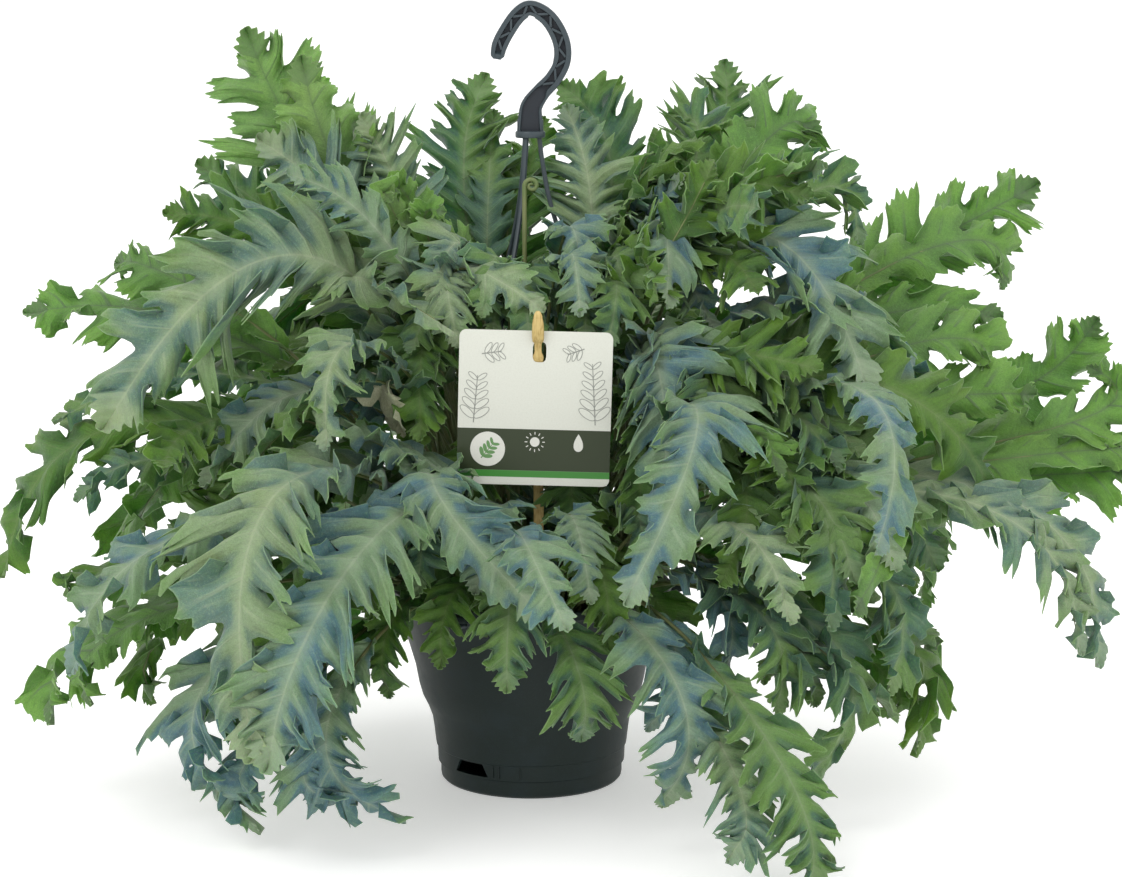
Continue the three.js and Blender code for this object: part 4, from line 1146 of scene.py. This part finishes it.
class FERN_OT_soil(bpy.types.Operator):
    """Heaps the potting mix, with crumbs and the creeping rootstocks"""
    bl_idname = "fern.soil"
    bl_label = "Soil"
    crumbs: bpy.props.IntProperty(name="Crumbs", description="Loose crumbs on the soil", default=260)

    def execute(self, context):
        top = [(r, SOIL_CROWN - SOIL_FALL * (r / 90) ** 2) for r in range(84, 5, -6)]
        mix = turned("potting_soil", [*SOIL_PROFILE, *top, (2, SOIL_CROWN)], 72)
        for vertex in mix.data.vertices:
            x, y, z = vertex.co * 1000
            if z + SEAT_HEIGHT > ROUGH_FROM:
                vertex.co.z += ROUGHNESS * (scatter(x * 0.31, y * 0.27) + scatter(x, y))
        crumbs = [self.crumb(k) for k in range(self.crumbs)]
        dress(join([mix, *crumbs], "potting_soil"), "soil", soil_finish(), replaces=["soil"], angle=40)
        roots = [self.rootstock(k) for k in range(ROOTSTOCKS)]
        dress(join(roots, "rootstocks"), "soil", rhizome_finish(), angle=70)
        return {"FINISHED"}

    def crumb(self, k):
        """One loose crumb, spread over the soil by the golden angle"""
        spot = on_circle(CRUMB_REACH * math.sqrt((k + 0.5) / self.crumbs), k * GOLDEN_ANGLE, CRUMB_HEIGHT)
        size = 1.5 + 0.9 * scatter(k, 8)
        crumb = add(bpy.ops.mesh.primitive_ico_sphere_add, "crumb", subdivisions=1, radius=size / 1000,
                    location=metres(spot))
        return scaled(crumb, 1, 0.8 + 0.3 * scatter(k, 9), 0.6)

    def rootstock(self, k):
        """One knobbly rootstock that creeps outwards over the soil"""
        azimuth = k * 360 / ROOTSTOCKS + 12 * scatter(k, 11)

        def where(u, v):
            swing = 16 * math.sin(3 * u + k)
            centre = on_circle(12 + 74 * u, azimuth + swing, 141.5 + 2.5 * math.sin(5 * u + k))
            radius = (5.2 - 2.2 * u) * (1 - abs(2 * u - 1) ** 8) + 0.3
            angle = 2 * math.pi * v
            knobs = 1 + 0.16 * scatter(round(u * 20), round(v * 10) % 10 + k)
            rise = UP * (radius * knobs * math.sin(angle))
            return centre + rise + on_circle(radius * knobs * math.cos(angle), azimuth + swing + 90, 0)

        return skin(f"rootstock_{k}", 20, 10, where, tube=True)


# ---------------------------------------------------------------- hanger

# Middle line of the hook's bar from the seat: x, z and half width
HOOK_LINE = [
    (-24.6, -31.6, 4.4), (-22.7, -21.5, 5.4), (-16.8, -10.2, 5.5), (-8.8, 0.6, 5.5), (0, 5.4, 5.5),
    (11, 0.6, 5.7), (19, -9.2, 5.9), (23.8, -21.5, 6), (23.4, -34, 6), (16.8, -46.2, 6.1),
    (8, -55.7, 6.5), (1, -66, 8), (0, -76, 9), (0, -86, 10),
]
# One face of the bar's section, with its pocket, and of the neck's: share of the half width
# across, and height over the middle plane
HOOK_SECTION = [
    (1, 3.8), (0.93, 4.5), (0.36, 4.5), (0.30, 0.8), (-0.50, 0.8), (-0.56, 4.5), (-0.93, 4.5), (-1, 3.8),
]
NECK_SECTION = [
    (1, 3.8), (0.93, 4.5), (0.77, 4.5), (0.70, 2.4), (-0.70, 2.4), (-0.77, 4.5), (-0.93, 4.5), (-1, 3.8),
]
# Share of the line where the neck starts
NECK_FROM = 0.76
# The pocket's points lie below the first height and rise to the second at the bar's solid ends;
# faces below the third get a darker plastic, painted shade in the pocket
POCKET_POINTS, SOLID_HEIGHT, SHADED_POCKET_FACES = 3, 4.2, 2.8
HANGER_TINT = (0.055, 0.068, 0.078)
# A darker copy of the plastic, painted shade on the pocket's floor
POCKET_SHADE_COLOR, POCKET_SHADE_TINT = (0.010, 0.014, 0.020), (0.016, 0.024, 0.036)
FLANGE_PROFILE = [
    (8, 485), (10.2, 485), (10.9, 485.5), (11, 486.2), (11, 489), (10.6, 489.7), (9.6, 490), (8, 490),
]
# Middle line of a leg from the flange to its lug: radius and height
LEG_LINE = [
    (6.5, 487), (8.5, 470), (14, 440), (24, 408), (40, 370), (62, 320), (84, 262), (100, 205),
    (LEG_FOOT, 160), (LEG_FOOT, 139),
]
LEG_RADIUS = 1.85
TRUSS_BARS = 14


def both_faces(section):
    """The whole section, from the points of its upper face"""
    return section + [(across, -depth) for across, depth in reversed(section)]


def through(points, t):
    """A smooth curve through points, with t from 0 to 1"""
    spans = len(points) - 1
    x = min(max(t, 0), 1) * spans
    i = min(int(x), spans - 1)
    f = x - i
    a, b, c, d = (points[min(max(i + k, 0), spans)] for k in (-1, 0, 1, 2))
    return [0.5 * (2 * q + (r - p) * f + (2 * p - 5 * q + 4 * r - w) * f * f
                   + (3 * q - p - 3 * r + w) * f ** 3) for p, q, r, w in zip(a, b, c, d)]


class FERN_OT_hanger(bpy.types.Operator):
    """Moulds the hook with its trussed web, the flange and the three legs"""
    bl_idname = "fern.hanger"
    bl_label = "Hanger"

    def execute(self, context):
        settings = context.scene.fern_pot
        color = tuple(settings.hanger_color)
        plastic = plastic_finish("hanger_plastic_grain", color, HANGER_TINT, 0.36)
        # The pocket's floor gets a darker copy of the plastic as painted shade
        pocket = plastic_finish("hanger_pocket_shade_grain", POCKET_SHADE_COLOR, POCKET_SHADE_TINT, 0.5)
        section, neck_section = both_faces(HOOK_SECTION), both_faces(NECK_SECTION)

        def where(u, v):
            x, z, half = through(HOOK_LINE, u)
            ahead, behind = through(HOOK_LINE, u + 0.004), through(HOOK_LINE, u - 0.004)
            along = Vector((ahead[0] - behind[0], 0, ahead[1] - behind[1])).normalized()
            k = round(v * len(section)) % len(section)
            neck = smooth(NECK_FROM - 0.02, NECK_FROM + 0.02, u)
            across, depth = (p + (q - p) * neck for p, q in zip(section[k], neck_section[k]))
            solid = max(smooth(0.985, 1.0, u), smooth(0.05, 0.03, u))
            if abs(depth) < POCKET_POINTS:
                depth += (math.copysign(SOLID_HEIGHT, depth) - depth) * solid
            if across < -0.9:
                across -= 0.13 * smooth(4.2, 6.0, abs(x - 1)) * smooth(-40, -32, z)
            tip_round = 1 - 0.4 * (1 - smooth(0, 0.025, u))
            normal = Vector((-along.z, 0, along.x))
            point = Vector((x, 0, z)) + normal * (across * half * tip_round)
            return Vector((point.x, depth, point.z + SEAT_HEIGHT))

        hook = skin("hanger_hook_moulding", 150, len(section), where, tube=True)
        pieces = [hook, turned("flange", FLANGE_PROFILE, 48), *self.truss()]
        for side in (-1, 1):
            pieces.append(block("neck_gusset", (2, 9, 9), (8.6 * side, 0, 494), 0, 0.8))
        for piece in pieces:
            piece.data.materials.append(plastic)
            piece.data.materials.append(pocket)
        # Faces of the pocket's floor take the painted shade
        for face in hook.data.polygons:
            if abs(face.normal.y) > 0.8 and abs(face.center.y) < SHADED_POCKET_FACES / 1000:
                face.material_index = 1
        dress(join(pieces, "hanger_hook_moulding"), "hanger_plastic", replaces=["hanger_hook"], angle=35)
        for azimuth in LUG_AZIMUTHS:
            self.leg(azimuth, plastic)
        return {"FINISHED"}

    def truss(self):
        """The slanting bars across the hook's pocket"""
        pieces = []
        pitch = (NECK_FROM - 0.07) / TRUSS_BARS
        for k in range(TRUSS_BARS):
            u = 0.06 + pitch * k
            x0, z0, half0 = through(HOOK_LINE, u)
            x1, z1, half1 = through(HOOK_LINE, u + pitch * 0.8)
            along = Vector((x1 - x0, z1 - z0)).normalized()
            normal = Vector((-along.y, along.x))
            near, far = (0.34, -0.54) if k % 2 else (-0.54, 0.34)
            start = Vector((x0, z0)) + normal * (half0 * near)
            end = Vector((x1, z1)) + normal * (half1 * far)
            span = end - start
            bar = block("truss_bar", (span.length, 7.8, 1.8), (0, 0, SEAT_HEIGHT), 0, 0.35)
            middle = (start + end) / 2000
            bar.data.transform(Matrix.Translation((middle.x, 0, middle.y))
                               @ Matrix.Rotation(-math.atan2(span.y, span.x), 4, "Y"))
            pieces.append(bar)
        return pieces

    def leg(self, azimuth, plastic):
        """One rod, rounded at its corners, with the knob that stands in the lug"""
        radial = on_circle(1, azimuth, 0)
        sideways = UP.cross(radial)

        def where(u, v):
            radius, height = through(LEG_LINE, u)
            next_radius, next_height = through(LEG_LINE, min(u + 0.01, 1.0))
            last_radius, last_height = through(LEG_LINE, max(u - 0.01, 0.0))
            along = radial * (next_radius - last_radius) + UP * (next_height - last_height)
            outward = sideways.cross(along.normalized())
            size = LEG_RADIUS * 0.92 * boxy(v, 0.45)
            return on_ring(radial * radius + UP * height, sideways, outward, size, size, v)

        rod = skin(f"hanger_rod_{azimuth}", 72, 16, where, tube=True)
        foot = on_circle(LEG_FOOT, azimuth, 139.6)
        knob = add(bpy.ops.mesh.primitive_uv_sphere_add, "knob", segments=20, ring_count=12, radius=0.0036,
                   location=metres(foot))
        piece = join([rod, scaled(knob, 1, 1, 0.62)], f"hanger_rod_{azimuth}")
        dress(piece, "hanger_plastic", plastic, replaces=[f"hanger_leg_{azimuth}"], angle=45)


# ---------------------------------------------------------------- label

STICK_FOOT = Vector((6.5, -62.7, 122.8))
STICK_LEAN = math.atan(0.25)
# Rings of the stick from its foot: distance, half width, half depth
STICK_RINGS = [
    (0, 3.7, 1.02), (70, 3.7, 1.02), (140, 3.7, 1.02), (190, 3.7, 1.02), (218, 3.7, 1.02),
    (221, 3.9, 1.3), (222.2, 3.8, 1.3), (223.6, 3.0, 1.1), (225.5, 2.5, 1.0), (231, 2.6, 1.0),
    (232.2, 3.0, 1.2), (233, 3.9, 1.6), (236, 4.2, 2.0), (241, 4.3, 2.1), (246, 4.1, 2.05),
    (249.6, 3.5, 1.8), (250.2, 3.2, 1.65), (251, 3.3, 1.7), (253, 2.8, 1.4), (254.6, 2.0, 1.0),
    (255.4, 1.0, 0.5),
]
# The card's slot for the stick: its middle on the card, half width and half height
SLOT_SPOT, SLOT_HALF_WIDTH, SLOT_HALF_HEIGHT = (2.5, 40.0), 4.8, 7.2
# Spots of the signs on the card, from its middle
DISC_SPOT, SUN_SPOT, DROP_SPOT = (-32.5, -29.7), (0.7, -24), (31.5, -24)
SUN_RAYS = 12
# Sprigs on the card: foot, direction in degrees, length of a leaf, pairs of leaves
SPRIGS = [((-43, -11), 86, 13, 5), ((43, -11), 94, 14, 6), ((-38, 38), 8, 9, 3), ((34, 43), 200, 8, 3)]
DISC_SPRIG = ((-37, -36.3), 52, 7, 4)
WHITE_INK, GREEN_INK, GREY_INK = (0.66, 0.66, 0.60), (0.12, 0.26, 0.09), (0.27, 0.28, 0.25)
# How far a sign, a sprig's stem, its leaves and their open centres stand out of the card
SIGN_HEIGHT, STEM_HEIGHT, LEAF_HEIGHT, CENTRE_HEIGHT = 0.3, 0.24, 0.26, 0.31
# Degrees between a sprig's stem and its leaves
LEAF_TURN = 52


def round_angles(count):
    """Angles of a full turn in equal steps"""
    return (2 * math.pi * k / count for k in range(count))


class FERN_OT_label(bpy.types.Operator):
    """Prints the blank card with a band, a plain disc and simple care signs"""
    bl_idname = "fern.label"
    bl_label = "Plant label"

    def execute(self, context):
        settings = context.scene.fern_label
        dress(self.stick(), "stick", wood_finish(), replaces=["label_stick"], angle=40)
        dress(self.card(), "card", card_finish(settings), replaces=["label_card"])
        white = print_finish("white_ink", WHITE_INK)
        green = print_finish("green_ink", GREEN_INK)
        whites = [self.disc(DISC_SPOT, 12.3, 0.2), self.disc(SUN_SPOT, 3.4, 0.2)]
        whites += [self.ray(SUN_SPOT, 6.2, k * 360 / SUN_RAYS) for k in range(SUN_RAYS)]
        whites.append(self.drop(DROP_SPOT, 7.0))
        dress(join(whites, "label_signs"), "card", white)
        greys, centres = [], []
        for sprig in SPRIGS:
            greys += self.sprig(*sprig)
            centres += self.sprig(*sprig, filled=False)
        dress(join(greys, "label_sprigs"), "card", print_finish("grey_ink", GREY_INK))
        blank = print_finish("card_ink", tuple(settings.card_color))
        dress(join(centres, "label_sprig_leaves"), "card", blank)
        dress(join(self.sprig(*DISC_SPRIG), "label_disc_leaf"), "card", green)
        return {"FINISHED"}

    def card(self):
        """The card with rounded corners and the slot that holds the stick"""
        half_width, half_height = CARD_WIDTH / 2 - CARD_CORNER, CARD_HEIGHT / 2 - CARD_CORNER
        corners = []
        for k, (side, end) in enumerate(((1, 1), (-1, 1), (-1, -1), (1, -1))):
            for step in range(9):
                angle = math.radians(90 * k + 11.25 * step)
                corners.append((side * half_width + CARD_CORNER * math.cos(angle),
                                end * half_height + CARD_CORNER * math.sin(angle)))
        card = self.outline(corners, (0, 0), CARD_THICKNESS)
        card.data.transform(Matrix.Translation((0, CARD_THICKNESS / 1000, 0)))
        rounded = lambda value: math.copysign(abs(value) ** 0.55, value)
        slot = self.outline([(SLOT_HALF_WIDTH * rounded(math.cos(a)), SLOT_HALF_HEIGHT * rounded(math.sin(a)))
                             for a in round_angles(40)], SLOT_SPOT, 8)
        slot.data.transform(Matrix.Translation((0, 0.005, 0)))
        cut_out(card, slot)
        card.name = "printed_card"
        return card

    def stick(self):
        """The wooden stick, carved to a waist and a round head above the card"""
        along = Vector((0, -math.sin(STICK_LEAN), math.cos(STICK_LEAN)))
        forward = Vector((0, -math.cos(STICK_LEAN), -math.sin(STICK_LEAN)))

        def where(u, v):
            length, half_width, half_depth = STICK_RINGS[round(u * (len(STICK_RINGS) - 1))]
            centre = STICK_FOOT + along * length + forward * (half_depth - STICK_RINGS[0][2])
            square = boxy(v, 0.6)
            return on_ring(centre, Vector((1, 0, 0)), forward, half_width * square, half_depth * square, v)

        return skin("carved_stick", len(STICK_RINGS) - 1, 24, where, tube=True)

    def on_card(self, obj, spot, height):
        """Moves a flat piece, made round the origin in the x-z plane, to its spot on the card"""
        tilt = Matrix.Rotation(CARD_TILT, 4, "Y")
        place = Matrix.Translation(metres(CARD_CENTRE)) @ tilt
        obj.data.transform(place @ Matrix.Translation(Vector((spot[0], -height / 2, spot[1])) / 1000))
        return obj

    def disc(self, spot, radius, height):
        """A flat round"""
        obj = add(bpy.ops.mesh.primitive_cylinder_add, "disc", vertices=48, radius=radius / 1000,
                  depth=height / 1000)
        obj.data.transform(Matrix.Rotation(math.pi / 2, 4, "X"))
        return self.on_card(obj, spot, height)

    def ray(self, spot, reach, turn):
        """One short dash round the sun"""
        obj = add(bpy.ops.mesh.primitive_cube_add, "ray", size=1)
        obj.data.transform(Matrix.Diagonal((0.0018, SIGN_HEIGHT / 1000, 0.0006, 1)))
        obj.data.transform(Matrix.Rotation(math.radians(turn), 4, "Y")
                           @ Matrix.Translation((reach / 1000, 0, 0)))
        return self.on_card(obj, spot, SIGN_HEIGHT)

    def outline(self, points, spot, height, turn=0.0):
        """A flat piece with the given outline"""
        obj = add(bpy.ops.mesh.primitive_circle_add, "outline", vertices=len(points), radius=0.001,
                  fill_type="NGON")
        for vertex, (x, z) in zip(obj.data.vertices, points):
            vertex.co = Vector((x, -height / 2, z)) / 1000
        edit(obj, lambda: bpy.ops.mesh.extrude_region_move(
            TRANSFORM_OT_translate={"value": (0, height / 1000, 0)}),
            lambda: bpy.ops.mesh.select_all(action="SELECT"), face_outwards)
        obj.data.transform(Matrix.Rotation(-math.radians(turn), 4, "Y"))
        return self.on_card(obj, spot, height)

    def drop(self, spot, size):
        """A drop with its point up"""
        points = [(size * 0.62 * math.sin(a) * math.sin(a / 2), size * math.cos(a) * 0.9)
                  for a in round_angles(32)]
        return self.outline(points, spot, SIGN_HEIGHT)

    def sprig(self, spot, turn, leaf, pairs, filled=True):
        """A plain stem with paired leaves, or the leaves' open centres"""
        angle = math.radians(turn)
        along = Vector((math.cos(angle), math.sin(angle)))
        length = pairs * leaf * 0.52
        middle = Vector(spot) + along * (length / 2)
        pieces = []
        if filled:
            pieces.append(self.outline([(-length / 2, -0.4), (length / 2, -0.25), (length / 2, 0.25),
                                        (-length / 2, 0.4)], middle, STEM_HEIGHT, turn))
        for k in range(pairs):
            for side in (-1, 1):
                size = leaf * (1 - 0.09 * k) * 0.5
                inset = 0 if filled else 0.55
                points = [(size + (size - inset) * -math.cos(a), (0.42 * size - inset) * math.sin(a))
                          for a in round_angles(24)]
                root = Vector(spot) + along * (length * (k + 0.5) / pairs)
                height = LEAF_HEIGHT if filled else CENTRE_HEIGHT
                pieces.append(self.outline(points, root, height, turn + side * LEAF_TURN))
        return pieces


# ---------------------------------------------------------------- stage

# Lamps: name, place in metres, width in metres, power in watts, and the spot that all point at
LAMPS = [
    ("key", (-1.1, -1.7, 1.7), 1.2, 22),
    ("fill", (1.7, -1.3, 0.9), 1.6, 6),
    ("back", (0.4, 1.6, 1.5), 1.4, 8),
]
LAMP_TARGET = Vector((0, 0, -0.3))
WORLD_STRENGTH = 1.08
FLOOR_SIZE = 400
# The floor's colour and its glow, each between two shades
FLOOR_COLORS = (0.78, 0.78, 0.775), (0.81, 0.81, 0.805)
FLOOR_GLOWS = (1, 1, 0.995), (0.98, 0.98, 0.97)
# The camera's place in metres and how far it looks down in degrees; its focal length and the
# render's width in pixels, and its sensor's width in millimetres
CAMERA_PLACE = (0.0226, -2.0, 0.011)
CAMERA_DIP = 9.22
FOCAL_LENGTH, RENDER_WIDTH = 2700, 1122
SENSOR_WIDTH = 36


class FERN_OT_stage(bpy.types.Operator):
    """Lays the pale floor, the soft lights and the camera"""
    bl_idname = "fern.stage"
    bl_label = "Stage"

    def execute(self, context):
        paint = Paint("pale_floor", Roughness=0.6, Specular_IOR_Level=0.2, Emission_Strength=0.42)
        grain = paint.noise(3.0, 3.0)
        pale = paint.finish(Base_Color=paint.mix(grain, *FLOOR_COLORS),
                            Emission_Color=paint.mix(grain, *FLOOR_GLOWS))
        floor = add(bpy.ops.mesh.primitive_plane_add, "floor", size=FLOOR_SIZE, location=metres((0, 0, 0)))
        floor.data.materials.append(pale)
        bpy.context.scene.view_settings.view_transform = "Standard"
        world = bpy.data.worlds.new("soft_studio")
        bpy.context.scene.world = world
        world.use_nodes = True
        background = world.node_tree.nodes["Background"]
        background.inputs["Color"].default_value = (1, 1, 1, 1)
        background.inputs["Strength"].default_value = WORLD_STRENGTH
        for lamp in LAMPS:
            self.lamp(*lamp)
        bpy.ops.object.camera_add(location=CAMERA_PLACE, rotation=(math.radians(90 - CAMERA_DIP), 0, 0))
        camera = bpy.context.active_object
        camera.data.sensor_width = SENSOR_WIDTH
        camera.data.lens = SENSOR_WIDTH * FOCAL_LENGTH / RENDER_WIDTH
        camera.data.clip_end = 1000
        bpy.context.scene.camera = camera
        return {"FINISHED"}

    def lamp(self, name, spot, size, power):
        """A soft square lamp that points at the plant"""
        turn = (LAMP_TARGET - Vector(spot)).to_track_quat("-Z", "Y").to_euler()
        bpy.ops.object.light_add(type="AREA", location=spot, rotation=turn)
        light = bpy.context.active_object
        light.name = name
        light.data.size = size
        light.data.energy = power


class FERN_PT_panel(bpy.types.Panel):
    """Lists the settings and the operators"""
    bl_label = "Hanging fern"
    bl_idname = "FERN_PT_panel"
    bl_space_type = "VIEW_3D"
    bl_region_type = "UI"
    bl_category = "Fern"

    def draw(self, context):
        for name in SETTINGS:
            settings = getattr(context.scene, name)
            for key in settings.bl_rna.properties.keys():
                if key not in ("rna_type", "name"):
                    self.layout.prop(settings, key)
        for operator in OPERATORS:
            self.layout.operator(operator.bl_idname)


OPERATORS = (FERN_OT_pot, FERN_OT_soil, FERN_OT_hanger, FERN_OT_label, FERN_OT_fronds, FERN_OT_stage)
SETTINGS = {"fern_foliage": FernFoliageSettings, "fern_pot": FernPotSettings,
            "fern_label": FernLabelSettings}
CLASSES = (*SETTINGS.values(), *OPERATORS, FERN_PT_panel)


def register():
    for made in CLASSES:
        bpy.utils.register_class(made)
    for name, kind in SETTINGS.items():
        setattr(bpy.types.Scene, name, bpy.props.PointerProperty(type=kind))


def unregister():
    for name in SETTINGS:
        delattr(bpy.types.Scene, name)
    for made in reversed(CLASSES):
        bpy.utils.unregister_class(made)


def main():
    register()
    bpy.ops.fern.pot()
    bpy.ops.fern.soil()
    bpy.ops.fern.hanger()
    bpy.ops.fern.label()
    bpy.ops.fern.fronds()
    bpy.ops.fern.stage()
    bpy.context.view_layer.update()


if __name__ == "__main__":
    main()
